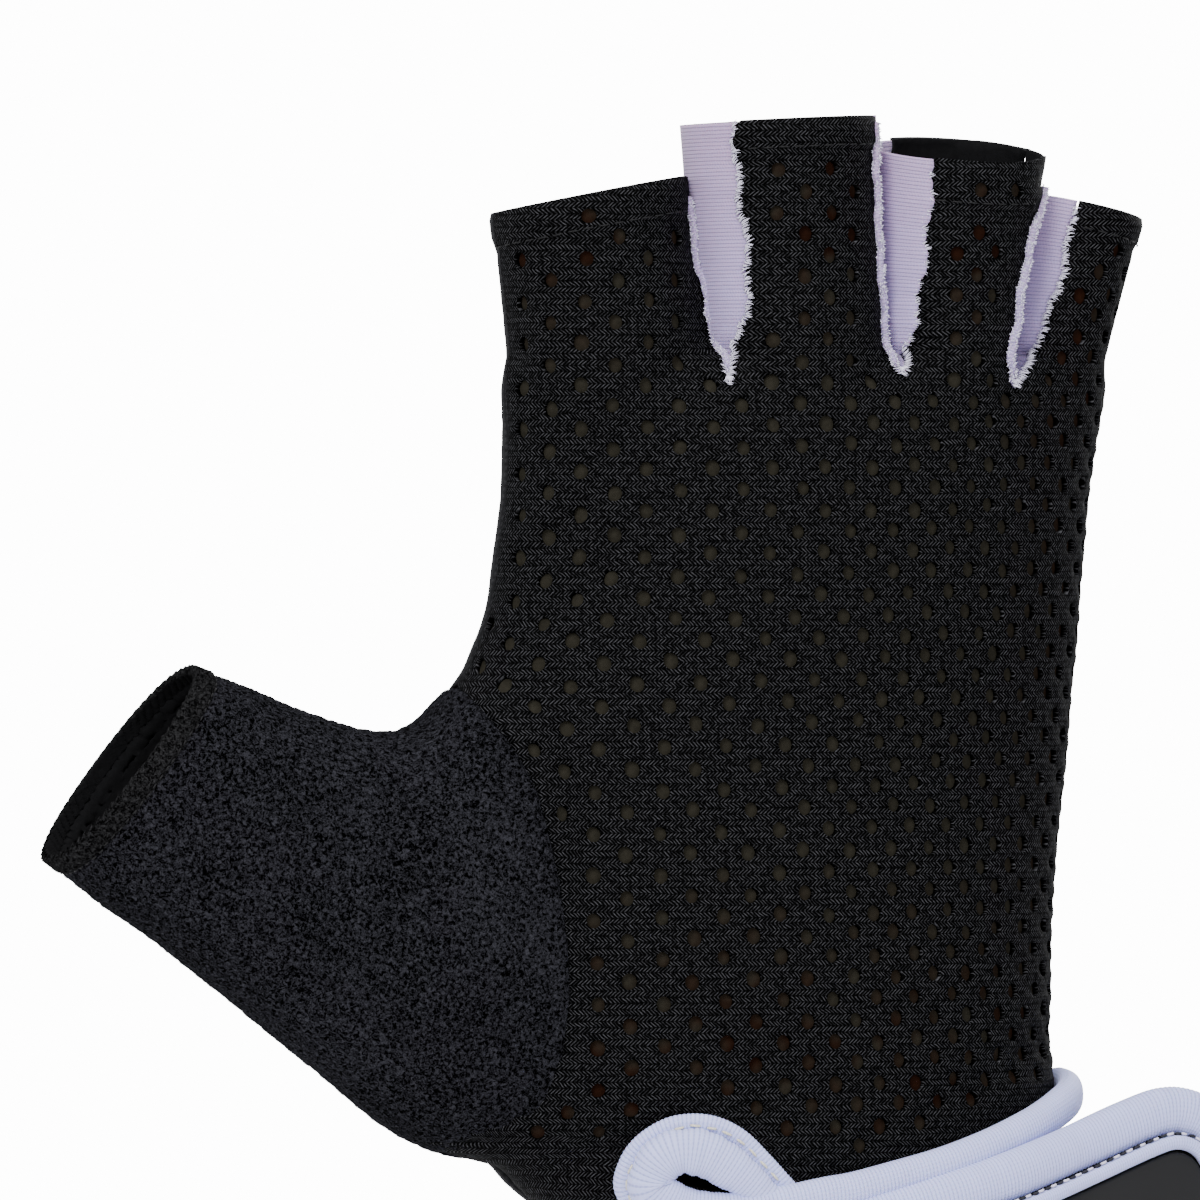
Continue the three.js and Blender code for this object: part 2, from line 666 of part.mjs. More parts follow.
// The strap, clear of the hand and of the cuff's roll
const strapHalf = (strapWidth - strapRollWidth) / 2;
const strapEnd = strapLength - strapRollWidth / 2;
const strapStart = strapRollWidth / 2;
const strapFace = strapThickness / 2;
const strapPlate = plate(strapStart, strapEnd, strapHalf, strapCorner, -strapFace, strapFace);
const grooved = plate(strapStart, strapEnd, strapHalf + fit, strapCorner, -strapFace - fit, strapFace + fit);
const strapEdge = plateEdge(strapStart, strapEnd, strapHalf, strapCorner, 0);
const strapRoll = roll(strapEdge, strapRollWidth, strapRollHeight, true);
addPiece("wrist_strap", strapPlate.subtract(clearOfBoth), knitBlack, 0.9);
addPiece("strap_binding", strapRoll.subtract(grooved).subtract(clearOfBoth), lavender, 0.85);

// The patch inside its piping
const patchEnd = strapEnd - strapRollWidth / 2 - pipingWidth - fit;
const patchHalf = strapHalf - strapRollWidth / 2 - pipingWidth - fit;
const patchCorner = strapCorner - strapRollWidth / 2 - pipingWidth;
const patchStart = patchEnd - patchLength;
const patchLow = strapFace + fit;
const piping = plateEdge(
  patchStart - pipingWidth / 2,
  patchEnd + pipingWidth / 2,
  patchHalf + pipingWidth / 2,
  patchCorner + pipingWidth / 2,
  patchLow + pipingWidth / 2,
);
const patch = plate(
  patchStart + fit,
  patchEnd - fit,
  patchHalf - fit,
  patchCorner,
  patchLow,
  patchLow + patchThickness,
);
addPiece("patch_piping", roll(piping, pipingWidth, pipingWidth, true), lavender, 0.85);
addPiece("strap_patch", patch, rubberGrey, 0.6);

export default group;
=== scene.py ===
import math

import bpy
import numpy as np
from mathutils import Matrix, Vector, noise
from mathutils.bvhtree import BVHTree
from mathutils.geometry import delaunay_2d_cdt
from mathutils.kdtree import KDTree


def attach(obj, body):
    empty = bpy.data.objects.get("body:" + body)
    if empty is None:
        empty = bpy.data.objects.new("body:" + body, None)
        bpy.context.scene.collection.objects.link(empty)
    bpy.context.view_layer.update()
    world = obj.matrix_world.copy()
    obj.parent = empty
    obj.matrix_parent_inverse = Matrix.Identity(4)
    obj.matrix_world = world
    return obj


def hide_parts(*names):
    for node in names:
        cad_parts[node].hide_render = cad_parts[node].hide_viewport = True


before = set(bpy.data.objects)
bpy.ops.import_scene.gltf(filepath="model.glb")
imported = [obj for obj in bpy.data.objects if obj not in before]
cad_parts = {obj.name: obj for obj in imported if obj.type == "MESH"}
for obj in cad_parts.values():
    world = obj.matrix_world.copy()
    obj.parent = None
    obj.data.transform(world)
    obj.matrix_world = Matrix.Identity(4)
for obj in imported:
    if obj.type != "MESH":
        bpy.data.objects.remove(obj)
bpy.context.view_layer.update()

chance = np.random.default_rng(11)
millimetre = 0.001

# Lengths below are millimetres in the frame's axes: X to the little finger, -Y the back of the hand, Z up.


def hexColour(code):
    parts = [int(code[i:i + 2], 16) / 255 for i in (1, 3, 5)]
    return [p / 12.92 if p <= 0.04045 else ((p + 0.055) / 1.055) ** 2.4 for p in parts] + [1.0]


def addNode(tree, kind, values=None, **settings):
    # values are either numbers for a socket or another node's output to link to it
    made = tree.nodes.new("ShaderNode" + kind)
    for name, value in settings.items():
        setattr(made, name, value)
    for socket, value in (values or {}).items():
        if isinstance(value, bpy.types.NodeSocket):
            tree.links.new(value, made.inputs[socket])
        else:
            made.inputs[socket].default_value = value
    return made


def newMaterial(name, values):
    material = bpy.data.materials.new(name)
    material.use_nodes = True
    shader = material.node_tree.nodes["Principled BSDF"]
    for socket, value in values.items():
        shader.inputs[socket].default_value = value
    return material, material.node_tree


def finishSurface(material, colour, height=None, strength=0.0, deep=0.0):
    # colour goes to the shader, and height becomes relief that is deep millimetres high
    tree = material.node_tree
    shader = tree.nodes["Principled BSDF"]
    tree.links.new(colour, shader.inputs["Base Color"])
    if height:
        relief = {"Strength": strength, "Distance": deep * millimetre, "Height": height}
        tree.links.new(addNode(tree, "Bump", relief).outputs[0], shader.inputs["Normal"])
    return material


def makePiece(name, points, faces, materials, covers=(), uv=None, faceMaterials=None):
    mesh = bpy.data.meshes.new(name)
    mesh.from_pydata((np.asarray(points) * millimetre).tolist(), [], faces)
    if uv is not None:
        corners = np.empty(len(mesh.loops), dtype=np.int32)
        mesh.loops.foreach_get("vertex_index", corners)
        layer = mesh.uv_layers.new(name="cloth")
        layer.data.foreach_set("uv", np.asarray(uv, dtype=np.float32)[corners].ravel())
    for material in materials:
        mesh.materials.append(material)
    if faceMaterials is not None:
        mesh.polygons.foreach_set("material_index", np.asarray(faceMaterials, dtype=np.int32))
    mesh.shade_smooth()
    piece = bpy.data.objects.new(name, mesh)
    bpy.context.scene.collection.objects.link(piece)
    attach(piece, "root")
    if covers:
        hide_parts(*covers)
    return piece


def thicken(piece, amount, inside=0):
    solid = piece.modifiers.new("thickness", "SOLIDIFY")
    solid.thickness = amount * millimetre
    solid.offset = -1
    solid.material_offset = inside
    return solid


def signedPower(value, exponent):
    return np.sign(value) * np.abs(value) ** exponent


def unit(vectors):
    return vectors / np.maximum(np.linalg.norm(vectors, axis=-1, keepdims=True), 1e-9)


def smoothStep(value):
    value = np.clip(value, 0, 1)
    return value * value * (3 - 2 * value)


def waver(points, scale, seed=0.0):
    # one soft random number from -1 to 1 for each point
    start = Vector((seed, 0, 0))
    return np.array([noise.noise(Vector(p) * scale + start) for p in np.asarray(points).tolist()])


def waverAlong(along, scale, seed):
    return waver(np.stack([along * scale, along * 0, along * 0], axis=1), 1, seed)


def runLength(points, axis=0):
    # distance run along one direction of a line or grid of points
    lengths = np.cumsum(np.linalg.norm(np.diff(points, axis=axis), axis=-1), axis=axis)
    return np.concatenate([np.zeros_like(lengths.take([0], axis=axis)), lengths], axis=axis)


def readAt(places, along, columns):
    # every column read at the given places along the line
    return np.stack([np.interp(places, along, columns[:, k]) for k in range(columns.shape[1])], axis=-1)


def smoothPath(marks, perSpan=24, closed=False):
    # a curve through marks, centripetal so that it never loops
    marks = np.asarray(marks, float)
    if closed:
        marks = np.vstack([marks[-1], marks, marks[0], marks[1]])
    else:
        marks = np.vstack([2 * marks[0] - marks[1], marks, 2 * marks[-1] - marks[-2]])
    gaps = np.sqrt(np.linalg.norm(np.diff(marks, axis=0), axis=1))
    knots = np.concatenate([[0], np.cumsum(gaps)])
    spans = []
    for i in range(1, len(marks) - 2):
        t0, t1, t2, t3 = knots[i - 1:i + 3]
        t = np.linspace(t1, t2, perSpan, endpoint=False)[:, None]
        a = ((t1 - t) * marks[i - 1] + (t - t0) * marks[i]) / (t1 - t0)
        b = ((t2 - t) * marks[i] + (t - t1) * marks[i + 1]) / (t2 - t1)
        c = ((t3 - t) * marks[i + 1] + (t - t2) * marks[i + 2]) / (t3 - t2)
        low = ((t2 - t) * a + (t - t0) * b) / (t2 - t0)
        high = ((t3 - t) * b + (t - t1) * c) / (t3 - t1)
        spans.append(((t2 - t) * low + (t - t1) * high) / (t2 - t1))
    if not closed:
        spans.append(marks[-2:-1])
    return np.vstack(spans)


def respace(columns, path, step, closed=False):
    # even spacing along path; columns is what goes with each of its points
    ring = np.vstack([path, path[:1]]) if closed else path
    data = np.vstack([columns, columns[:1]]) if closed else columns
    along = runLength(ring)
    count = max(2, int(round(along[-1] / step)))
    places = np.linspace(0, along[-1], count + (not closed), endpoint=not closed)
    return readAt(places, along, data), places


def ringFaces(rows, count, closedAlong=False, closedAround=True, first=0):
    i = np.arange(rows if closedAlong else rows - 1)[:, None]
    j = np.arange(count if closedAround else count - 1)[None, :]
    a = i * count + j
    b = i * count + (j + 1) % count
    c = (i + 1) % rows * count + (j + 1) % count
    d = (i + 1) % rows * count + j
    return (np.stack([a, b, c, d], axis=-1).reshape(-1, 4) + first).tolist()


def strands(roots, tips, bend, radius, sides=4, blunt=False):
    # small bent fibres or stitches, each from its root to its tip and bulging by bend in the middle
    roots, tips, bend = (np.asarray(x, float) for x in (roots, tips, bend))
    along = unit(tips - roots)
    side = unit(np.cross(along, [0.31, 0.52, 0.79]))
    other = np.cross(along, side)
    shares = [0, 0.15, 0.5, 0.85, 1] if blunt else [0, 0.45, 1]
    widths = [0.35, 1, 1, 1, 0.35] if blunt else [1, 0.85, 0.25]
    rings = []
    for share, wide in zip(shares, widths):
        middle = roots + (tips - roots) * share + bend * (4 * share * (1 - share))
        for k in range(sides):
            angle = 2 * math.pi * k / sides
            rings.append(middle + (side * math.cos(angle) + other * math.sin(angle)) * radius * wide)
    points = np.stack(rings, axis=1).reshape(-1, 3)
    size = len(shares) * sides
    faces = []
    for i in range(len(roots)):
        first = i * size
        faces += ringFaces(len(shares), sides, first=first)
        faces.append([first + k for k in reversed(range(sides))])
        faces.append([first + size - sides + k for k in range(sides)])
    return points, faces


def sweepRoll(path, facing, wide, high, sides, along, ribPitch, ribDepth, closed=False, lean=0.4):
    # an oval padded roll with knitted ribs across it; uv counts ribs along it and millimetres round it
    count = len(path)
    if closed:
        run = np.roll(path, -1, axis=0) - np.roll(path, 1, axis=0)
    else:
        run = np.gradient(path, axis=0)
    run = unit(run)
    aside = unit(np.cross(run, facing))
    out = np.cross(aside, run)
    drift = waverAlong(along, 0.16, 3.1)
    angle = 2 * np.pi * np.arange(sides) / sides
    cos, sin = signedPower(np.cos(angle), 0.92), signedPower(np.sin(angle), 0.92)
    length = along[-1] + (along[1] - along[0])
    pitch = length / round(length / ribPitch) if closed else ribPitch
    ribs = along[:, None] / pitch + 0.35 * drift[:, None] + lean * np.sin(angle + 0.6)[None, :] * 0.5
    swell = 1 + 0.025 * waverAlong(along, 0.11, 9.7)[:, None]
    lift = ribDepth * (np.abs(np.cos(np.pi * ribs)) - 0.6)
    half = (np.asarray(wide) / 2 * np.ones(count))[:, None] * swell + lift
    rise = (np.asarray(high) / 2 * np.ones(count))[:, None] * swell + lift
    points = (path[:, None, :] + aside[:, None, :] * (half * cos)[:, :, None]
              + out[:, None, :] * (rise * sin)[:, :, None])
    around = angle / (2 * np.pi) * 2.6 * (np.mean(wide) + np.mean(high)) / 2
    uv = np.stack([ribs, np.broadcast_to(around, ribs.shape)], axis=-1)
    faces = ringFaces(count, sides, closedAlong=closed)
    if not closed:
        faces.append(list(range(sides))[::-1])
        faces.append([(count - 1) * sides + k for k in range(sides)])
    return points.reshape(-1, 3), faces, uv.reshape(-1, 2)


view = {
    "azimuth": -18,  # turned towards the thumb side, as the photo shows the left walls of the fingers
    "distance": 2000,
    "frameWidth": 168,
    "toRight": -34.3,
    "up": 117.6,
}


def addCamera():
    turn = math.radians(view["azimuth"])
    right = Vector((math.cos(turn), math.sin(turn), 0))
    ahead = Vector((-math.sin(turn), math.cos(turn), 0))
    camera = bpy.data.cameras.new("camera")
    camera.sensor_width = 36
    camera.lens = 36 * view["distance"] / view["frameWidth"]
    camera.clip_start = 0.05
    eye = bpy.data.objects.new("camera", camera)
    target = right * view["toRight"] + Vector((0, 0, view["up"]))
    eye.location = (target - ahead * view["distance"]) * millimetre
    eye.rotation_euler = (math.pi / 2, 0, turn)
    bpy.context.scene.collection.objects.link(eye)
    bpy.context.scene.camera = eye


softboxes = {
    # name: place in metres, size in metres, watts
    "keyLeft": ((-0.75, -0.95, 0.75), 0.6, 21),
    "frontFill": ((0.45, -1.2, 0.3), 0.9, 7),
    "topSheet": ((0.0, -0.15, 0.95), 0.9, 12),
    "rearRight": ((0.8, 0.7, 0.45), 0.6, 7),
    "rearLeft": ((-0.8, 0.7, 0.4), 0.6, 6),
}


def addLight():
    for name, (place, size, watts) in softboxes.items():
        lamp = bpy.data.lights.new(name, "AREA")
        lamp.size = size
        lamp.energy = watts
        box = bpy.data.objects.new(name, lamp)
        box.location = place
        box.rotation_euler = (Vector((-0.02, 0, 0.11)) - Vector(place)).to_track_quat("-Z", "Y").to_euler()
        bpy.context.scene.collection.objects.link(box)
    world = bpy.data.worlds.new("studio")
    bpy.context.scene.world = world
    world.use_nodes = True
    tree = world.node_tree
    seen = addNode(tree, "LightPath")
    dim = addNode(tree, "Background", {"Color": hexColour("#f4f6ff"), "Strength": 0.42})
    clean = addNode(tree, "Background", {"Color": (1, 1, 1, 1), "Strength": 14})
    both = addNode(tree, "MixShader", {0: seen.outputs["Is Camera Ray"], 1: dim.outputs[0], 2: clean.outputs[0]})
    tree.links.new(both.outputs[0], tree.nodes["World Output"].inputs["Surface"])


ground = {"radius": 850, "height": -6, "around": 96}


def addFloor():
    around, radius, height = ground["around"], ground["radius"], ground["height"]
    turns = [2 * math.pi * k / around for k in range(around)]
    points = [(0, 0, height)] + [(radius * math.cos(turn), radius * math.sin(turn), height) for turn in turns]
    faces = [[0, 1 + k, 1 + (k + 1) % around] for k in range(around)]
    mesh = bpy.data.meshes.new("floor")
    mesh.from_pydata([[c * millimetre for c in p] for p in points], [], faces)
    # pale matt paper
    material, tree = newMaterial("paleMattPaper", {"Roughness": 0.9})
    grain = addNode(tree, "TexNoise", {"Scale": 60, "Detail": 3})
    tone = addNode(tree, "MixRGB", {0: grain.outputs[0], 1: hexColour("#f0f0f2"), 2: hexColour("#f6f6f6")})
    mesh.materials.append(finishSurface(material, tone.outputs[0]))
    floor = bpy.data.objects.new("floor", mesh)
    bpy.context.scene.collection.objects.link(floor)


addCamera()
addLight()
addFloor()
print("camera, light and floor")

# the filled hand form that the panels are laid on
hand = {
    "palmWidth": 88, "palmHeight": 152, "palmDepth": 40, "sectionPower": 2.3,
    "fingerLength": 37, "fingerDepth": 24,
    "voxel": 0.9, "smoothing": 5,
    "furthest": 60,  # a ray that runs further than this has missed its part of the form
}
palmWide, palmHigh, palmDeep = hand["palmWidth"], hand["palmHeight"], hand["palmDepth"]
# height, thumb side, little-finger side, depth, and how far each side bows to the palm
palmRows = np.array([
    (0, -0.306, 0.351, 0.95, 0, 0),
    (0.129, -0.344, 0.351, 1, 0, 0.013),
    (0.184, -0.415, 0.352, 1, 0, 0.025),
    (0.232, -0.55, 0.352, 1, 0, 0.038),
    (0.276, -0.612, 0.352, 1, 0, 0.05),
    (0.359, -0.672, 0.352, 0.975, 0, 0.075),
    (0.451, -0.71, 0.355, 0.925, 0, 0.1),
    (0.543, -0.71, 0.369, 0.875, 0, 0.113),
    (0.636, -0.68, 0.39, 0.825, 0.013, 0.125),
    (0.689, -0.643, 0.398, 0.8, 0.025, 0.125),
    (0.764, -0.589, 0.412, 0.765, 0.037, 0.138),
    (0.866, -0.564, 0.431, 0.735, 0.05, 0.15),
    (0.926, -0.558, 0.446, 0.7, 0.062, 0.15),
    (0.975, -0.566, 0.467, 0.62, 0.062, 0.15),
    (1, -0.55, 0.455, 0.4, 0.062, 0.15),
]) * [palmHigh, palmWide, palmWide, palmDeep, palmDeep, palmDeep]
# foot and top: place across the hand at the webs and at the rim; set: towards the palm; lift, slope and nod:
# the rim raised, and tilted across and to the palm; flare: how far the wall leans to the next finger by the web
stalls = [
    {"foot": -0.4, "top": -0.424, "set": 0.05, "footWidth": 0.3, "topWidth": 0.308, "depth": 1, "length": 0.65,
     "slope": 0.19, "nod": -0.05, "lift": -2.0, "hem": 5.4, "flare": 1.5},
    {"foot": -0.09, "top": -0.114, "set": -0.02, "footWidth": 0.286, "topWidth": 0.3, "depth": 1, "length": 0.9,
     "slope": 0.05, "nod": 0, "lift": -0.6, "hem": 4.5, "flare": 0},
    {"foot": 0.172, "top": 0.197, "set": 0.01, "footWidth": 0.222, "topWidth": 0.272, "depth": 0.96,
     "length": 0.78, "slope": -0.03, "nod": 0.18, "lift": 0, "hem": 6.4, "flare": 0},
    {"foot": 0.366, "top": 0.418, "set": 0.17, "footWidth": 0.19, "topWidth": 0.2, "depth": 0.79, "length": 0.53,
     "slope": -0.22, "nod": 0, "lift": 1.6, "hem": 4.2, "flare": 0},
]
# along the thumb, tip to root: upper edge, lower edge, depth, set towards the palm
thumbRows = np.array([
    (-1.076, 0.712, -1.307, 0.538, 0.62, 0.075),
    (-0.986, 0.695, -1.233, 0.504, 0.64, 0.07),
    (-0.889, 0.672, -1.134, 0.463, 0.68, 0.06),
    (-0.794, 0.654, -1.013, 0.409, 0.73, 0.05),
    (-0.713, 0.661, -0.865, 0.341, 0.78, 0.03),
    (-0.632, 0.705, -0.698, 0.272, 0.82, 0.01),
    (-0.53, 0.72, -0.51, 0.262, 0.8, 0),
    (-0.41, 0.66, -0.39, 0.33, 0.6, 0),
]) * [palmWide, palmHigh, palmWide, palmHigh, palmDeep, palmDeep]
# round seam between the thumb and the hand, web to wrist
thumbSeam = np.array([
    (-0.655, 0.7), (-0.636, 0.672), (-0.6, 0.64), (-0.566, 0.595), (-0.54, 0.535), (-0.522, 0.47),
    (-0.517, 0.415), (-0.53, 0.36), (-0.556, 0.318), (-0.6, 0.282), (-0.66, 0.25),
]) * [palmWide, palmHigh]

fineZ = np.arange(0, palmHigh + 0.25, 0.5)


def easedColumn(column, reach=8):
    line = np.interp(fineZ, palmRows[:, 0], palmRows[:, column])
    kernel = np.hanning(2 * reach + 1)
    return np.convolve(np.pad(line, reach, mode="edge"), kernel / kernel.sum(), mode="valid")


palmColumns = [easedColumn(column) for column in range(1, 6)]


def palmPoint(turn, z):
    # turn is degrees round the hand: 0 at the little-finger side, 90 at the back, 180 at the thumb side
    left, right, depth, thumbBow, littleBow = [np.interp(z, fineZ, column) for column in palmColumns]
    angle = np.radians(turn)
    across = signedPower(np.cos(angle), 2 / hand["sectionPower"])
    back = signedPower(np.sin(angle), 2 / hand["sectionPower"])
    bow = np.where(across < 0, thumbBow, littleBow) * across ** 2
    x = (left + right) / 2 + (right - left) / 2 * across
    return np.stack([x, bow - depth / 2 * back, np.broadcast_to(z, x.shape)], axis=-1)


def turnAt(x, z):
    left, right = [np.interp(z, fineZ, column) for column in palmColumns[:2]]
    share = np.clip((x - (left + right) / 2) / ((right - left) / 2), -1, 1)
    return np.degrees(np.arccos(signedPower(share, hand["sectionPower"] / 2)))


def palmNormal(turn, z):
    around = palmPoint(turn + 1, z) - palmPoint(turn - 1, z)
    rise = palmPoint(turn, z + 1) - palmPoint(turn, z - 1)
    return unit(np.cross(rise, around))


def stallRise(stall, z):
    # share of the stall's length above the webs
    return (z - palmHigh) / (stall["length"] * hand["fingerLength"])


def stallSize(stall, z):
    share = stallRise(stall, z)
    middle = (stall["foot"] + (stall["top"] - stall["foot"]) * share) * palmWide
    width = stall["footWidth"] + (stall["topWidth"] - stall["footWidth"]) * np.maximum(share, 0)
    return middle, width * palmWide / 2


def stallFlare(stall, rise):
    return stall["flare"] * smoothStep((0.62 - rise) / 0.45)


def stallPoint(stall, rise, angle):
    # angle is in radians and runs round the stall as turn does round the palm
    length = stall["length"] * hand["fingerLength"]
    share = np.maximum(rise, 0)
    wide = np.interp(rise, [-0.9, -0.35, 0.05], [0.6, 0.98, 1.01])
    deep = np.interp(rise, [-0.9, -0.35, 0.05, 0.4], [0.6, 1.02, 1.05, 1])
    middle = (stall["foot"] + (stall["top"] - stall["foot"]) * rise) * palmWide
    width = (stall["footWidth"] + (stall["topWidth"] - stall["footWidth"]) * share) * palmWide * wide
    dx = width / 2 * np.cos(angle) + stallFlare(stall, rise) * np.maximum(np.cos(angle), 0)
    dy = -stall["depth"] * hand["fingerDepth"] / 2 * deep * np.sin(angle)
    z = palmHigh + rise * length + share * (stall["slope"] * dx + stall["nod"] * dy)
    return np.stack([middle + dx, stall["set"] * palmDeep + dy, z], axis=-1)


def stallTop(stall):
    return palmHigh + stall["length"] * hand["fingerLength"] + stall["lift"]


def rimHeight(stall, x, y):
    dx = x - stall["top"] * palmWide
    dy = y - stall["set"] * palmDeep
    return stallTop(stall) + stall["slope"] * dx + stall["nod"] * dy


thumbLine = smoothPath(thumbRows, perSpan=12)


def thumbFrame(share):
    # share runs from the tip, 0, to the root, 1
    rows = share * (len(thumbLine) - 1)
    row = readAt(rows, np.arange(len(thumbLine)), thumbLine)
    high = np.stack([row[..., 0], row[..., 5], row[..., 1]], axis=-1)
    low = np.stack([row[..., 2], row[..., 5], row[..., 3]], axis=-1)
    return (high + low) / 2, (high - low) / 2, row[..., 4] / 2


def thumbRing(share, angle, outward=0.0):
    middle, arm, deep = thumbFrame(share)
    across = signedPower(np.cos(angle), 2 / hand["sectionPower"])
    back = signedPower(np.sin(angle), 2 / hand["sectionPower"])
    along = unit(thumbFrame(0.0)[0] - thumbFrame(0.1)[0]) * outward
    return middle + arm * across[..., None] + np.stack([0 * back, -deep * back, 0 * back], axis=-1) + along


def formSurface():
    around = np.radians(np.arange(0, 360, 5))
    solids = [np.array([palmPoint(np.degrees(around), z) for z in np.arange(0, palmHigh + 0.1, 2)])]
    solids.append(np.array(
        [thumbRing(0.0, around, 8.0)] + [thumbRing(share, around) for share in np.linspace(0, 1, 36)]
    ))
    for stall in stalls:
        solids.append(np.array([stallPoint(stall, rise, around) for rise in np.linspace(-0.9, 1.3, 34)]))
    points, faces = [], []
    for rings in solids:
        first = sum(len(p) for p in points)
        rows, count = rings.shape[:2]
        points.append(rings.reshape(-1, 3))
        faces += ringFaces(rows, count, first=first)
        faces.append([first + k for k in reversed(range(count))])
        faces.append([first + (rows - 1) * count + k for k in range(count)])
    mesh = bpy.data.meshes.new("handForm")
    mesh.from_pydata(np.vstack(points).tolist(), [], faces)
    body = bpy.data.objects.new("handForm", mesh)
    bpy.context.scene.collection.objects.link(body)
    remesh = body.modifiers.new("union", "REMESH")
    remesh.mode = "VOXEL"
    remesh.voxel_size = hand["voxel"]
    soften = body.modifiers.new("soften", "SMOOTH")
    soften.factor = 0.5
    soften.iterations = hand["smoothing"]
    tree = BVHTree.FromObject(body, bpy.context.evaluated_depsgraph_get())
    bpy.data.objects.remove(body)
    bpy.data.meshes.remove(mesh)
    return tree


form = formSurface()
print("hand form")


def castOut(origins, directions):
    hits = []
    for origin, direction in zip(origins.tolist(), directions.tolist()):
        hit, _, _, far = form.ray_cast(origin, direction)
        if hit is None or far > hand["furthest"]:
            hit = form.find_nearest(Vector(origin) + Vector(direction) * 8)[0]
        hits.append(hit)
    return np.array(hits)


# Flat pattern of a panel: u runs across the hand and z up it. In the middle a pattern point is cast
# straight out of the form; past these columns the rays fan out round the side of the hand.
fan = {
    "z": [0, 20, 28, 36, 42, 47, 100, 106, 112, 132, 142, 152, 172, 190],
    "left": [-16, -19, -25.5, -34, -41, -62, -62, -45, -40, -36.6, -36, -35.5, -36.7, -37.3],
    "right": [20, 20, 20, 20, 20, 20, 24.2, 24.7, 25.5, 28, 30, 32, 36.6, 38],
    "rightSet": [2.6, 2.6, 2.7, 2.7, 2.8, 2.9, 4.6, 4.8, 5.1, 6, 6.6, 7.3, 8.8, 8.8],
    "leftSet": 2.0,
    "leftReach": 13.0,
    "rightReach": 11.0,
}


# Each gusset sits between its stall and the next one. Rows run from top to tip: height, left seam, right seam.
# Above whiteTop the black cloth of the left finger covers its wall; thickOutwards thickens it towards the gap.
gussets = [
    {"name": "IndexMiddle", "node": "fourchette_index_middle", "stall": 0, "tip": (-20.9, 147.4),
     "rows": [(192, -24.8, -19.3), (184, -24.6, -19.3), (174, -24.2, -18.7), (170, -23.7, -18.0),
              (165, -23.0, -17.4), (161, -22.4, -17.4), (158, -21.6, -17.5), (154.4, -21.0, -18.1),
              (151.5, -20.8, -19.4), (149, -20.9, -20.4)]},
    {"name": "MiddleRing", "node": "fourchette_middle_ring", "stall": 1, "tip": (4.7, 148.8),
     "thickOutwards": True,
     "rows": [(192, 2.2, 10.3), (179, 1.8, 10.1), (172, 1.9, 9.5), (165, 2.2, 8.9), (159, 2.9, 8.1),
              (155, 3.2, 7.5), (152, 3.3, 6.8), (150, 3.7, 6.0)]},
    {"name": "RingLittle", "node": "fourchette_ring_little", "stall": 2, "tip": (22.2, 147.2), "whiteTop": 175.6,
     "rows": [(184, 29.6, 35.2), (177, 29.5, 34.4), (175.6, 28.9, 34.2), (174, 27.5, 34.0), (172.5, 26.5, 33.7),
              (170, 25.3, 33.0), (164, 23.5, 31.9), (160, 22.6, 30.6),
              (157, 22.2, 29.5), (153.6, 21.3, 28.0), (151, 20.9, 26.0), (149.2, 21.3, 24.2)]},
]


def webMiddle(item):
    # heights and the places halfway between the two seams of a gusset
    rows = [(item["tip"][1], item["tip"][0])] + [(z, (a + b) / 2) for z, a, b in item["rows"][::-1]]
    return [z for z, _ in rows], [x for _, x in rows]


def sideSeam(z, sideName):
    edge = np.interp(z, fan["z"], fan[sideName])
    return edge - fan["leftReach"] * np.pi / 2 if sideName == "left" else edge + fan["rightReach"] * np.pi / 2


def patternRays(u, z, side):
    left = np.interp(z, fan["z"], fan["left"])
    right = np.interp(z, fan["z"], fan["right"])
    turn = np.minimum(u - left, 0) / fan["leftReach"] + np.maximum(u - right, 0) / fan["rightReach"]
    x = np.clip(u, left, right)
    rightSet = np.interp(z, fan["z"], fan["rightSet"])
    y = fan["leftSet"] + (rightSet - fan["leftSet"]) * smoothStep((x - left) / (right - left))
    # above the webs each ray starts in the middle of its own finger stall
    bounds = [np.interp(z, *webMiddle(item)) for item in gussets]
    inStall = y
    for bound, stall in list(zip(bounds, stalls))[::-1]:
        inStall = np.where(u < bound, stall["set"] * palmDeep, inStall)
    y = y + (inStall - y) * smoothStep((z - 146) / 5)
    origins = np.stack([x, y, z], axis=-1)
    return origins, np.stack([np.sin(turn), side * np.cos(turn), 0 * turn], axis=-1)


def onForm(u, z, side=-1):
    u, z = np.broadcast_arrays(np.asarray(u, float), np.asarray(z, float))
    origins, directions = patternRays(u, z, side)
    return castOut(origins.reshape(-1, 3), directions.reshape(-1, 3)).reshape(u.shape + (3,))


# cloth length across the hand for each pattern column, kept for heights below the webs
arcStep = 6.0
arcRows = np.arange(0, 147, arcStep)
arcColumns = np.arange(-86, 62, 1.0)
arcStart = -4.5


def arcTable(side):
    found = onForm(arcColumns[None, :] + 0 * arcRows[:, None], arcRows[:, None] + 0 * arcColumns[None, :], side)
    steps = np.linalg.norm(np.diff(found[..., :2], axis=1), axis=-1)
    arcs = np.concatenate([np.zeros((len(arcRows), 1)), np.cumsum(np.minimum(steps, 3), axis=1)], axis=1)
    middle = np.array([np.interp(arcStart, arcColumns, row) for row in arcs])
    return arcs - middle[:, None], found


backArcs, backFound = arcTable(-1)
palmArcs, palmFound = arcTable(1)


def clothAcross(u, z, arcs):
    row = np.clip(np.asarray(z) / arcStep, 0, len(arcRows) - 1.001)
    low = row.astype(int)
    share = row - low
    column = np.clip(np.asarray(u) - arcColumns[0], 0, len(arcColumns) - 1.001)
    first = column.astype(int)
    part = column - first
    a = arcs[low, first] * (1 - part) + arcs[low, first + 1] * part
    b = arcs[low + 1, first] * (1 - part) + arcs[low + 1, first + 1] * part
    return a * (1 - share) + b * share


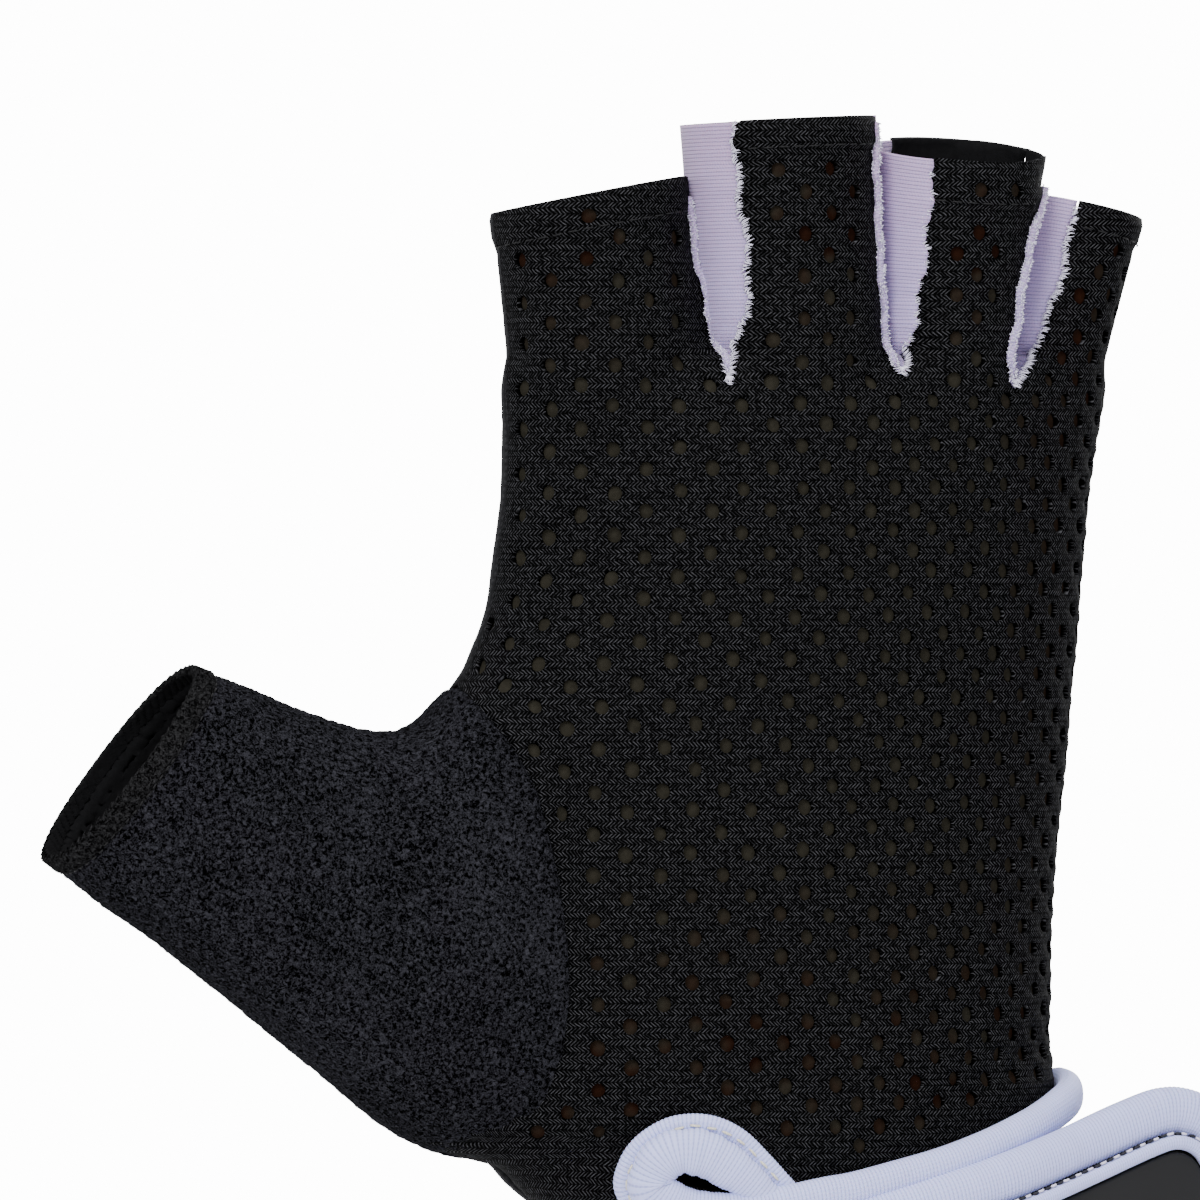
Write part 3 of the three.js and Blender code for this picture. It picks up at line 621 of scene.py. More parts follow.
def columnAt(arc, z):
    row = min(max(z / arcStep, 0), len(arcRows) - 1.001)
    low = int(row)
    share = row - low
    return np.interp(arc, backArcs[low] * (1 - share) + backArcs[low + 1] * share, arcColumns)


def gussetSeams(gusset, z):
    rows = np.array(gusset["rows"])[::-1]
    tipX, tipZ = gusset["tip"]
    zs = np.concatenate([[tipZ], rows[:, 0]])
    left = np.interp(z, zs, np.concatenate([[tipX], rows[:, 1]]))
    right = np.interp(z, zs, np.concatenate([[tipX], rows[:, 2]]))
    seed = gusset["stall"] * 1.7
    ruffle = smoothStep((z - tipZ) / 4)
    left = left + ruffle * (0.22 * np.sin(z * 0.83 + seed) + 0.12 * np.sin(z * 2.1 + 2 * seed))
    right = right + ruffle * (0.26 * np.sin(z * 0.71 + 2 + seed) + 0.15 * np.sin(z * 2.45 + seed))
    leftMiddle, leftHalf = stallSize(stalls[gusset["stall"]], z)
    rightMiddle, rightHalf = stallSize(stalls[gusset["stall"] + 1], z)
    high = smoothStep((z - 150.5) / 2)
    leftStall = stalls[gusset["stall"]]
    # neither seam goes further round its finger than the form reaches
    leftEnd = leftMiddle + 0.975 * leftHalf + stallFlare(leftStall, stallRise(leftStall, z))
    rightEnd = rightMiddle - 0.9 * rightHalf
    return left + np.minimum(leftEnd - left, 0) * high, right + np.maximum(rightEnd - right, 0) * high


def gussetLines(gusset, leftTop, rightTop):
    tipX, tipZ = gusset["tip"]
    down = np.arange(leftTop, tipZ, -0.7)
    rise = np.arange(rightTop, tipZ, -0.7)[::-1]
    left = np.stack([gussetSeams(gusset, down)[0], down], axis=1)
    right = np.stack([gussetSeams(gusset, rise)[1], rise], axis=1)
    return np.vstack([left, [[tipX, tipZ]]]), right


def rimLine(stall, fromU, toU, side):
    us = np.linspace(fromU, toU, max(6, int(abs(toU - fromU) / 0.9)))
    z = np.full(us.shape, stallTop(stall) - 0.5)
    for _ in range(2):
        found = onForm(us, z, side)
        z = rimHeight(stall, found[:, 0], found[:, 1])
    return np.stack([us, z], axis=1)


def panelOutline(side):
    # counter-clockwise in (u, z): up the little-finger side, over the rims, down the thumb side
    outline = []
    rims = {}
    for i in range(4):
        stall = stalls[i]
        top = stallTop(stall)
        leftU = sideSeam(top, "left") if i == 0 else gussetSeams(gussets[i - 1], top)[1]
        rightU = sideSeam(top, "right") if i == 3 else gussetSeams(gussets[i], top)[0]
        rims[i] = rimLine(stall, float(rightU), float(leftU), side)
    heights = np.arange(0, rims[3][0, 1], 0.9)
    outline.append(np.stack([sideSeam(heights, "right"), heights], axis=1))
    for i in (3, 2, 1, 0):
        outline.append(rims[i])
        if i > 0:
            left, right = gussetLines(gussets[i - 1], rims[i - 1][0, 1] - 0.7, rims[i][-1, 1] - 0.7)
            outline.append(right[::-1])
            outline.append(left[::-1])
    down = np.arange(rims[0][-1, 1], 106.4, -0.9)
    outline.append(np.stack([sideSeam(down, "left"), down], axis=1))
    seam = smoothPath(thumbSeam[1:-2], perSpan=10)
    seam = seam[(seam[:, 1] < 102.6) & (seam[:, 1] > 45)]
    outline.append(seam)
    low = np.arange(42.4, 0, -0.9)
    outline.append(np.stack([sideSeam(low, "left"), low], axis=1))
    low = np.linspace(sideSeam(0, "left"), sideSeam(0, "right"), 90)[:-1]
    outline.append(np.stack([low, 0 * low], axis=1))
    loop = np.vstack(outline)
    gap = np.linalg.norm(loop - np.roll(loop, 1, axis=0), axis=1)
    loop = loop[gap > 0.12]
    return respace(loop, loop, 0.8, closed=True)[0]


def insideLoop(loop, points):
    ax, ay = loop[:, 0][:, None], loop[:, 1][:, None]
    bx, by = np.roll(loop[:, 0], -1)[:, None], np.roll(loop[:, 1], -1)[:, None]
    results = []
    for part in np.array_split(points, max(1, len(points) // 3000)):
        x, y = part[:, 0], part[:, 1]
        crosses = (ay > y) != (by > y)
        slant = np.where(np.abs(by - ay) < 1e-9, 1e-9, by - ay)
        results.append((crosses & (x < ax + (y - ay) / slant * (bx - ax))).sum(axis=0) % 2 == 1)
    return np.concatenate(results)


def nearest(cloud, points):
    tree = KDTree(len(cloud))
    for i, p in enumerate(cloud.tolist()):
        tree.insert((p[0], p[1], 0), i)
    tree.balance()
    return np.array([tree.find((p[0], p[1], 0))[2] for p in points.tolist()])


def cutPattern(loop, holes, lines, spacing):
    # the pattern as triangles, with its holes left open
    lowest, highest = loop.min(axis=0), loop.max(axis=0)
    rows = np.arange(lowest[1], highest[1], spacing * 0.87)
    grid = []
    for i, z in enumerate(rows):
        u = np.arange(lowest[0] + (i % 2) * spacing / 2, highest[0], spacing)
        grid.append(np.stack([u, np.full(u.shape, z)], axis=1))
    grid = np.vstack(grid)
    grid += chance.uniform(-0.12, 0.12, grid.shape) * spacing
    fixed = [loop] + holes
    cloud = np.vstack(fixed + lines)
    grid = grid[nearest(cloud, grid) > 0.55 * spacing]
    if holes:
        grid = grid[nearest(np.array([ring.mean(axis=0) for ring in holes]), grid) > vents["gridClear"]]
        grid = grid[~insideLoop(holes[-1], grid)]
    points = np.vstack(fixed + lines + [grid])
    owners = np.full(len(points), -1)
    edges = []
    first = 0
    for number, ring in enumerate(fixed):
        count = len(ring)
        edges += [(first + k, first + (k + 1) % count) for k in range(count)]
        owners[first:first + count] = number
        first += count
    found = delaunay_2d_cdt([Vector(p) for p in points.tolist()], edges, [], 0, 1e-7)
    flat = np.array([(v.x, v.y) for v in found[0]])
    owner = np.array([owners[ids[0]] if ids else -1 for ids in found[3]])
    triangles = np.array(found[2])
    middle = flat[triangles].mean(axis=1)
    keep = insideLoop(loop, middle)
    same = owner[triangles]
    keep &= ~((same[:, 0] > 0) & (same[:, 0] == same[:, 1]) & (same[:, 1] == same[:, 2]))
    return flat, triangles[keep]


def pointNormals(points, triangles):
    a, b, c = points[triangles[:, 0]], points[triangles[:, 1]], points[triangles[:, 2]]
    face = np.cross(b - a, c - a)
    normals = np.zeros_like(points)
    for k in range(3):
        np.add.at(normals, triangles[:, k], face)
    return unit(normals)


vents = {
    "radius": 1.1,  # round in the relaxed knit
    "rise": 5.9,
    # columns of the knit at a height of 122, as places across the hand; more follow at either side
    "columns": [-38.0, -28.9, -20.2, -11.9, -4.5, 2.1, 8.2, 14.1, 19.6, 24.8],
    "leftPitch": 9.2,
    "rightPitch": 5.7,
    "firstRow": 3.4,
    "drift": ([40, 85, 122, 180], [-3.4, -3.8, 0, 2.4]),  # how far the lattice leans across, by height
    "sides": 10,
    "edgeClear": 2.2,
    "stallClear": 3.1,
    "cuffClear": 4.6,
    "gridClear": 1.3,
}


def cuffLine(x):
    # height of the cuff roll's middle across the back
    across = [-39, -36, -30, -22, -16, -5, 8, 18, 26, 40]
    return np.interp(x, across, [38, 44, 46.5, 44, 38, 37.2, 40, 43.4, 46.6, 50])


def ventRings(loop):
    reference = 122.0
    row = int(reference / arcStep)
    share = reference / arcStep - row
    arcs = backArcs[row] * (1 - share) + backArcs[row + 1] * share
    across = backFound[row][:, 0] * (1 - share) + backFound[row + 1][:, 0] * share
    middle = (arcColumns > -60) & (arcColumns < 30)
    places = np.interp(vents["columns"], across[middle], arcs[middle]).tolist()
    left = [places[0] - vents["leftPitch"] * k for k in range(1, 5)][::-1]
    right = [places[-1] + vents["rightPitch"] * k for k in range(1, 8)]
    columns = np.array(left + places + right)
    between = (columns[1:] + columns[:-1]) / 2
    rings, centres = [], []
    for level in range(int(190 / (vents["rise"] / 2))):
        z = vents["firstRow"] + level * vents["rise"] / 2
        shift = np.interp(z, *vents["drift"])
        for arc in (columns if level % 2 == 0 else between) + shift:
            height = z + 0.02 * arc + chance.normal(0, 0.12)
            arc = arc + chance.normal(0, 0.12)
            u = float(columnAt(arc, height))
            spread = float(columnAt(arc + 1, height) - columnAt(arc - 1, height)) / 2
            size = vents["radius"] * chance.uniform(0.9, 1.05)
            turn = 2 * np.pi * np.arange(vents["sides"]) / vents["sides"]
            ring = np.stack([u + size * spread * np.cos(turn), height + size * 1.05 * np.sin(turn)], axis=1)
            centres.append((u, height))
            rings.append(ring)
    centres = np.array(centres)
    clear = np.where(centres[:, 1] > 151, vents["stallClear"], vents["edgeClear"])
    keep = insideLoop(loop, centres) & (nearest(loop, centres) > clear)
    keep &= centres[:, 1] > cuffLine(centres[:, 0]) + vents["cuffClear"]
    return [ring for ring, kept in zip(rings, keep) if kept]


def perforatedKnit():
    # warp-knitted polyester with round vents: near black and matt; the slanted stitch pattern is real, and the
    # little light each stitch catches is a painted highlight in its colour
    material, tree = newMaterial("warpKnitPolyester", {"Roughness": 0.62, "Specular IOR Level": 0.01})
    cloth = addNode(tree, "UVMap", uv_map="cloth").outputs[0]
    wander = addNode(tree, "TexNoise", {"Vector": cloth, "Scale": 0.4, "Detail": 2.0})
    place = addNode(tree, "SeparateXYZ", {0: cloth})
    height = addNode(tree, "Math", {0: wander.outputs[0], 1: 0.5, 2: place.outputs[1]}, operation="MULTIPLY_ADD")
    # stitches lean one way and then the other, row by row; real stitches are 0.3 mm, drawn at 0.56 to show
    lean = addNode(tree, "Math", {0: height.outputs[0], 1: 0.84}, operation="PINGPONG")
    slanted = addNode(tree, "Math", {0: lean.outputs[0], 1: 1.1, 2: place.outputs[0]}, operation="MULTIPLY_ADD")
    moved = addNode(tree, "Math", {0: wander.outputs[0], 1: 0.4, 2: slanted.outputs[0]}, operation="MULTIPLY_ADD")
    phase = addNode(tree, "Math", {0: moved.outputs[0], 1: 2 * math.pi / 0.56}, operation="MULTIPLY")
    course = addNode(tree, "Math", {0: phase.outputs[0]}, operation="SINE")
    yarn = addNode(tree, "MapRange", {"Value": course.outputs[0], "From Min": 0.0, "From Max": 1.0})
    between = addNode(tree, "Math", {0: height.outputs[0], 1: 0.42}, operation="PINGPONG")
    rows = addNode(tree, "MapRange", {"Value": between.outputs[0], "From Max": 0.16, "To Min": 0.1})
    dashes = addNode(tree, "TexNoise", {"Vector": cloth, "Scale": 1.3, "Detail": 2.0, "Roughness": 0.6})
    broken = addNode(tree, "MapRange", {"Value": dashes.outputs[0], "From Min": 0.4, "From Max": 0.6,
                                        "To Min": 0.2})
    stitch = addNode(tree, "Math", {0: yarn.outputs[0], 1: rows.outputs[0]}, operation="MULTIPLY")
    paintedGlint = addNode(tree, "Math", {0: stitch.outputs[0], 1: broken.outputs[0]}, operation="MULTIPLY")
    fibre = addNode(tree, "TexNoise", {"Vector": cloth, "Scale": 6.0, "Detail": 2.0})
    speck = addNode(tree, "Math", {0: fibre.outputs[0], 1: 0.35, 2: paintedGlint.outputs[0]}, operation="MULTIPLY_ADD")
    shade = addNode(tree, "MapRange", {"Value": speck.outputs[0], "From Min": 0.2, "From Max": 1.1})
    # painted highlight: the stitches' glint is put into the base colour, black to #404043, as the shader has
    # almost no specular
    tone = addNode(tree, "MixRGB", {0: shade.outputs[0], 1: hexColour("#000000"), 2: hexColour("#404043")})
    depth = addNode(tree, "Math", {0: stitch.outputs[0], 1: speck.outputs[0]}, operation="ADD")
    return finishSurface(material, tone.outputs[0], depth.outputs[0], 0.8, 0.12)


def brushedLining(name, plain, warm):
    # tricot lining, brushed on the inside and matt: olive behind most vents, with painted shade as a darker,
    # warmer brown where it lies in shade near the wrist, along the little-finger side and in the finger stalls
    material, tree = newMaterial(name, {"Roughness": 0.95, "Specular IOR Level": 0.05})
    space = addNode(tree, "TexCoord")
    place = addNode(tree, "SeparateXYZ", {0: space.outputs["Object"]})
    # painted shade mask: it rises near the wrist, towards the little-finger side and up in the stalls
    low = addNode(tree, "MapRange", {"Value": place.outputs[2], "From Min": 0.082, "From Max": 0.055})
    side = addNode(tree, "MapRange", {"Value": place.outputs[0], "From Min": 0.018, "From Max": 0.034})
    top = addNode(tree, "MapRange", {"Value": place.outputs[2], "From Min": 0.148, "From Max": 0.166})
    two = addNode(tree, "Math", {0: low.outputs[0], 1: side.outputs[0]}, operation="MAXIMUM")
    three = addNode(tree, "Math", {0: two.outputs[0], 1: top.outputs[0]}, operation="MAXIMUM")
    cloud = addNode(tree, "TexNoise", {"Vector": space.outputs["Object"], "Scale": 130.0, "Detail": 2.0})
    uneven = addNode(tree, "MapRange", {"Value": cloud.outputs[0], "From Min": 0.36, "From Max": 0.6})
    share = addNode(tree, "Math", {0: three.outputs[0], 1: uneven.outputs[0]}, operation="MULTIPLY")
    tone = addNode(tree, "MixRGB", {0: share.outputs[0], 1: hexColour(plain), 2: hexColour(warm)})
    nap = addNode(tree, "TexNoise", {"Vector": space.outputs["Object"], "Scale": 1500.0, "Detail": 3.0})
    level = addNode(tree, "MapRange", {"Value": nap.outputs[0], "To Min": 0.6, "To Max": 1.4})
    worn = addNode(tree, "HueSaturation", {"Value": level.outputs[0], "Color": tone.outputs[0]})
    return finishSurface(material, worn.outputs[0], nap.outputs[0], 0.5, 0.15)


def palmCloth():
    # plain-woven nylon over a thin foam: dark, threads 0.5 mm apart, two directions of fine ribs
    material, tree = newMaterial("wovenNylon", {"Roughness": 0.6, "Specular IOR Level": 0.06})
    cloth = addNode(tree, "UVMap", uv_map="cloth").outputs[0]
    threads = {"Vector": cloth, "Scale": 0.32, "Distortion": 0.6, "Detail": 1.0}
    warp, weft = [addNode(tree, "TexWave", threads, bands_direction=way).outputs[1] for way in "XY"]
    weave = addNode(tree, "Math", {0: warp, 1: weft}, operation="MULTIPLY")
    wear = addNode(tree, "TexNoise", {"Vector": cloth, "Scale": 0.06, "Detail": 4.0})
    both = addNode(tree, "Math", {0: wear.outputs[0], 1: 0.7, 2: weave.outputs[0]}, operation="MULTIPLY_ADD")
    tone = addNode(tree, "MixRGB", {0: both.outputs[0], 1: hexColour("#060607"), 2: hexColour("#1e1e20")})
    return finishSurface(material, tone.outputs[0], weave.outputs[0], 0.6, 0.12)


def loopedTerry(name, dark, light):
    # cotton terry: short standing loops about 0.7 mm apart, soft and matt, a bluish black; the loop pattern is
    # real, and the light on the loop tops is a painted highlight in its colour
    material, tree = newMaterial(name, {"Roughness": 0.95, "Specular IOR Level": 0.01})
    space = addNode(tree, "TexCoord")
    loops = addNode(tree, "TexNoise", {"Vector": space.outputs["Object"], "Scale": 1900.0, "Detail": 2.5,
                                       "Roughness": 0.62, "Distortion": 0.8})
    fibres = addNode(tree, "TexNoise", {"Vector": space.outputs["Object"], "Scale": 4200.0, "Detail": 2.0})
    patches = addNode(tree, "TexNoise", {"Vector": space.outputs["Object"], "Scale": 90.0, "Detail": 2.0})
    mixed = addNode(tree, "Math", {0: fibres.outputs[0], 1: 0.45, 2: loops.outputs[0]}, operation="MULTIPLY_ADD")
    lifted = addNode(tree, "Math", {0: patches.outputs[0], 1: 0.1, 2: mixed.outputs[0]}, operation="MULTIPLY_ADD")
    share = addNode(tree, "MapRange", {"Value": lifted.outputs[0], "From Min": 0.68, "From Max": 1.0})
    # painted highlight: where the loop pattern peaks, the colour goes from dark to light, standing in for light
    # on the loops
    tone = addNode(tree, "MixRGB", {0: share.outputs[0], 1: hexColour(dark), 2: hexColour(light)})
    return finishSurface(material, tone.outputs[0], mixed.outputs[0], 0.9, 0.4)


def ribKnit(name, light, groove, blush=None):
    # fine polyester rib, folded: pale ribs across the strip with thin shaded grooves and small loops in rows
    material, tree = newMaterial(name, {
        "Roughness": 0.75, "Sheen Weight": 0.2, "Sheen Roughness": 0.5, "Specular IOR Level": 0.3,
        "Subsurface Weight": 0.08, "Subsurface Scale": 0.0006})
    cloth = addNode(tree, "UVMap", uv_map="cloth").outputs[0]
    place = addNode(tree, "SeparateXYZ", {0: cloth})
    turn = addNode(tree, "Math", {0: place.outputs[0], 1: 2 * math.pi}, operation="MULTIPLY")
    rib = addNode(tree, "Math", {0: turn.outputs[0]}, operation="COSINE")
    raised = addNode(tree, "MapRange", {"Value": rib.outputs[0], "From Min": -1.0, "From Max": -0.1})
    knots = addNode(tree, "Math", {0: place.outputs[1], 1: 2 * math.pi / 0.42}, operation="MULTIPLY")
    loop = addNode(tree, "Math", {0: knots.outputs[0]}, operation="SINE")
    small = addNode(tree, "TexNoise", {"Vector": cloth, "Scale": 3.0, "Detail": 2.0})
    soft = addNode(tree, "TexNoise", {"Vector": cloth, "Scale": 0.22, "Detail": 2.0})
    rough = addNode(tree, "Math", {0: loop.outputs[0], 1: 0.16, 2: raised.outputs[0]}, operation="MULTIPLY_ADD")
    worn = addNode(tree, "Math", {0: small.outputs[0], 1: 0.5, 2: rough.outputs[0]}, operation="MULTIPLY_ADD")
    share = addNode(tree, "MapRange", {"Value": worn.outputs[0], "From Min": 0.15, "From Max": 1.05})
    tone = addNode(tree, "MixRGB", {0: share.outputs[0], 1: hexColour(groove), 2: hexColour(light)})
    out = tone.outputs[0]
    if blush:
        space = addNode(tree, "TexCoord")
        height = addNode(tree, "SeparateXYZ", {0: space.outputs["Object"]})
        warm = addNode(tree, "MapRange", {"Value": height.outputs[2], "From Min": 0.160, "From Max": 0.186})
        tint = addNode(tree, "MixRGB", {0: warm.outputs[0], 1: (1, 1, 1, 1), 2: hexColour(blush)})
        out = addNode(tree, "MixRGB", {0: 1.0, 1: out, 2: tint.outputs[0]}, blend_type="MULTIPLY").outputs[0]
    uneven = addNode(tree, "MapRange", {"Value": soft.outputs[0], "To Min": 0.93, "To Max": 1.05})
    final = addNode(tree, "HueSaturation", {"Value": uneven.outputs[0], "Color": out})
    return finishSurface(material, final.outputs[0], worn.outputs[0], 0.6, 0.12)


def spunThread(name, code):
    # twisted polyester sewing thread, 0.3 mm, slightly shiny
    material, tree = newMaterial(name, {"Roughness": 0.6, "Specular IOR Level": 0.1})
    space = addNode(tree, "TexCoord")
    twist = addNode(tree, "TexWave", {"Vector": space.outputs["Object"], "Scale": 1600.0, "Distortion": 2.0})
    colour = hexColour(code)
    dark = [c * 0.6 for c in colour[:3]] + [1]
    tone = addNode(tree, "MixRGB", {0: twist.outputs[1], 1: dark, 2: colour})
    return finishSurface(material, tone.outputs[0])


def mouldedRubber():
    # moulded silicone rubber: satin, dark grey, with the fine grain of its mould
    material, tree = newMaterial("mouldedRubber", {"Roughness": 0.5, "Specular IOR Level": 0.16, "IOR": 1.41})
    space = addNode(tree, "TexCoord")
    grain = addNode(tree, "TexNoise", {"Vector": space.outputs["Object"], "Scale": 2600.0, "Detail": 2.0})
    dust = addNode(tree, "TexNoise", {"Vector": space.outputs["Object"], "Scale": 55.0, "Detail": 4.0})
    tone = addNode(tree, "MixRGB", {0: dust.outputs[0], 1: hexColour("#19191a"), 2: hexColour("#202021")})
    gloss = addNode(tree, "MapRange", {"Value": dust.outputs[0], "To Min": 0.44, "To Max": 0.56})
    tree.links.new(gloss.outputs[0], tree.nodes["Principled BSDF"].inputs["Roughness"])
    return finishSurface(material, tone.outputs[0], grain.outputs[0], 0.25, 0.05)


knitBlack = perforatedKnit()
# the second colour is painted shade, a darker warm brown
liningWithPaintedShade = brushedLining("brushedTricot", "#24221c", "#1c0c05")
insideBlack = brushedLining("blackTricot", "#0d0d0e", "#0d0d0e")
palmBlack = palmCloth()
# the second colour of each terry is its painted highlight on the loop tops
terryBlack = loopedTerry("cottonTerry", "#000000", "#2c2c31")
hemBlack = loopedTerry("flattenedTerryHem", "#020202", "#272728")
gussetWhite = ribKnit("polyesterRib", "#9e8fb7", "#7e7299", "#fff0ea")
bindingLavender = ribKnit("paddedRibBinding", "#b6bcec", "#959bd0")
fringeWhite = spunThread("overlockThread", "#dcd8ea")
darkThread = spunThread("blackThread", "#1c1c1d")
creamThread = spunThread("creamThread", "#dcd8c6")
greyThread = spunThread("greyThread", "#2e2e34")
rubber = mouldedRubber()
print("materials")

panel = {
    "spacing": 1.35,
    "thickness": 0.75,
    "hemRise": 0.4,
    "hemGroove": 0.22,
    "edgeDip": 0.4,
    "courses": 0.09,  # ridges of the stretched knit towards the little finger
    "unrest": ((0.16, 0.11, 4.0), (0.07, 0.42, 1.0)),  # height, scale and seed of each slow wave
    # creases on the back: across, height, direction in degrees, half length, half width, depth
    "creases": [
        (-44, 128.4, 52, 8.8, 2.0, 1.4), (-41.4, 121.6, 44, 8.8, 2.0, 1.0), (-46, 117.5, 60, 6, 1.1, 0.45),
        (-38, 124.5, 48, 7, 1.0, 0.4), (-40.5, 41.8, 24, 11, 2.6, 1.3), (-42, 46.5, 30, 7, 1.2, 0.5),
        (23, 54.7, 20, 12, 3.2, 0.7), (14, 50.0, 22, 10, 1.4, 0.35), (-33, 60, -30, 12, 3.0, 0.35),
        (8, 141, 12, 10, 1.6, 0.3), (-10, 143, -10, 8, 1.6, 0.3), (-30, 140, 35, 9, 1.4, 0.35),
    ],
}


def stallOf(u):
    return np.digitize(u, [gusset["tip"][0] for gusset in gussets])


def dressPanel(flat, found, normals, side, loop):
    depth = np.zeros(len(flat))
    if side < 0:
        for across, height, direction, reach, width, deep in panel["creases"]:
            turn = math.radians(direction)
            dx, dz = found[:, 0] - across, found[:, 2] - height
            along = (dx * math.cos(turn) + dz * math.sin(turn)) / reach
            aside = (dz * math.cos(turn) - dx * math.sin(turn)) / width
            depth += deep * np.exp(-along ** 2 - aside ** 2) * (1 - 0.55 * np.exp(-(aside - 1.6) ** 2))
    for height, scale, seed in panel["unrest"]:
        depth += height * waver(found, scale, seed)
    if side < 0:
        stretched = smoothStep((found[:, 0] - 2) / 26) * smoothStep((152 - found[:, 2]) / 12)
        rows = np.cos(2 * np.pi * (found[:, 2] - 3.4 - 0.03 * found[:, 0]) / 2.95)
        depth += panel["courses"] * stretched * rows
    which = stallOf(flat[:, 0])
    rims = np.zeros(len(flat))
    hems = np.zeros(len(flat))
    for i, stall in enumerate(stalls):
        rims = np.where(which == i, rimHeight(stall, found[:, 0], found[:, 1]), rims)
        hems = np.where(which == i, stall["hem"], hems)
    below = rims - found[:, 2]
    depth -= panel["hemRise"] * smoothStep((hems - below) / 0.7) * smoothStep(below / 0.5 + 0.3)
    depth += panel["hemGroove"] * np.exp(-((below - hems - 0.1) / 0.4) ** 2)
    distance = nearest(loop, flat)
    depth += panel["edgeDip"] * np.exp(-(distance / 0.7) ** 2) * (found[:, 2] < 149)
    return found - normals * depth[:, None]


def addPanel(name, side, holes, material, node, arcs):
    loop = panelOutline(side)
    rings = holes(loop)
    lines = []
    for i, stall in enumerate(stalls):
        for extra in (-0.35, 0.35):
            leftU = sideSeam(170, "left") + 1 if i == 0 else gussetSeams(gussets[i - 1], 170.0)[1] + 0.7
            rightU = sideSeam(170, "right") - 1 if i == 3 else gussetSeams(gussets[i], 170.0)[0] - 0.7
            line = rimLine(stall, float(leftU), float(rightU), side) - [0, stall["hem"] + extra]
            lines.append(line[insideLoop(loop, line)])
    if rings:
        centres = np.vstack(rings)
        lines = [line[nearest(centres, line) > 0.5] for line in lines]
    flat, triangles = cutPattern(loop, rings, lines, panel["spacing"])
    if side > 0:
        triangles = triangles[:, ::-1]
    found = onForm(flat[:, 0], flat[:, 1], side)
    normals = pointNormals(found, triangles)
    points = dressPanel(flat, found, normals, side, loop)
    uv = np.stack([clothAcross(flat[:, 0], np.minimum(flat[:, 1], 143), arcs), flat[:, 1]], axis=1)
    piece = makePiece(name, points, triangles.tolist(), [material, insideBlack], (node,), uv)
    thicken(piece, panel["thickness"], 1)
    return loop, len(rings)


slitRing = np.array([(-31.6, 38.2), (-30.8, 39.8), (-28.5, 39.7), (-24.2, 37.8), (-22.6, 36.2), (-25, 35.7),
                     (-29.2, 36.6)])


def backHoles(loop):
    return ventRings(loop) + [slitRing]


lining = {"inset": 0.5, "spacing": 1.6, "behind": 0.1, "thickness": 0.3, "edgeClear": 0.4}


def addBackLining(loop):
    # plain tricot just behind the vents, so that they show cloth and not the far side
    run = np.roll(loop, -1, axis=0) - np.roll(loop, 1, axis=0)
    edge = loop + unit(np.stack([-run[:, 1], run[:, 0]], axis=1)) * lining["inset"]
    flat, triangles = cutPattern(edge, [slitRing], [], lining["spacing"])
    found = onForm(flat[:, 0], flat[:, 1], -1)
    normals = pointNormals(found, triangles)
    points = dressPanel(flat, found, normals, -1, loop) - normals * (panel["thickness"] + lining["behind"])
    clear = nearest(loop, flat) > lining["edgeClear"]
    used = triangles[clear[triangles].all(axis=1)]
    piece = makePiece("backLining", points, used.tolist(), [liningWithPaintedShade])
    thicken(piece, lining["thickness"])


backLoop, ventCount = addPanel("backPanel", -1, backHoles, knitBlack, "back_panel", backArcs)
addBackLining(backLoop)
addPanel("palmPanel", 1, lambda loop: [], palmBlack, "palm_panel", palmArcs)
print("panels with", ventCount, "vents and the slit")

thumb = {
    "rows": 150, "around": 250, "pile": 0.2, "thickness": 1.3, "hem": 3.0,
    "overlap": 0.012,  # share of its length that runs on under the hand's cloth
    "seamDip": 1.0,
    "seamSlant": 5.2,  # how fast the seam runs off to the thumb side past its own ends
}


def seamSide(x, z):
    # positive on the hand's side of the thumb seam
    seamX = np.interp(z, thumbSeam[::-1, 1], thumbSeam[::-1, 0])
    past = np.maximum(z - thumbSeam[0, 1], 0) + np.maximum(thumbSeam[-1, 1] - z, 0)
    return x - (seamX - past * thumb["seamSlant"])


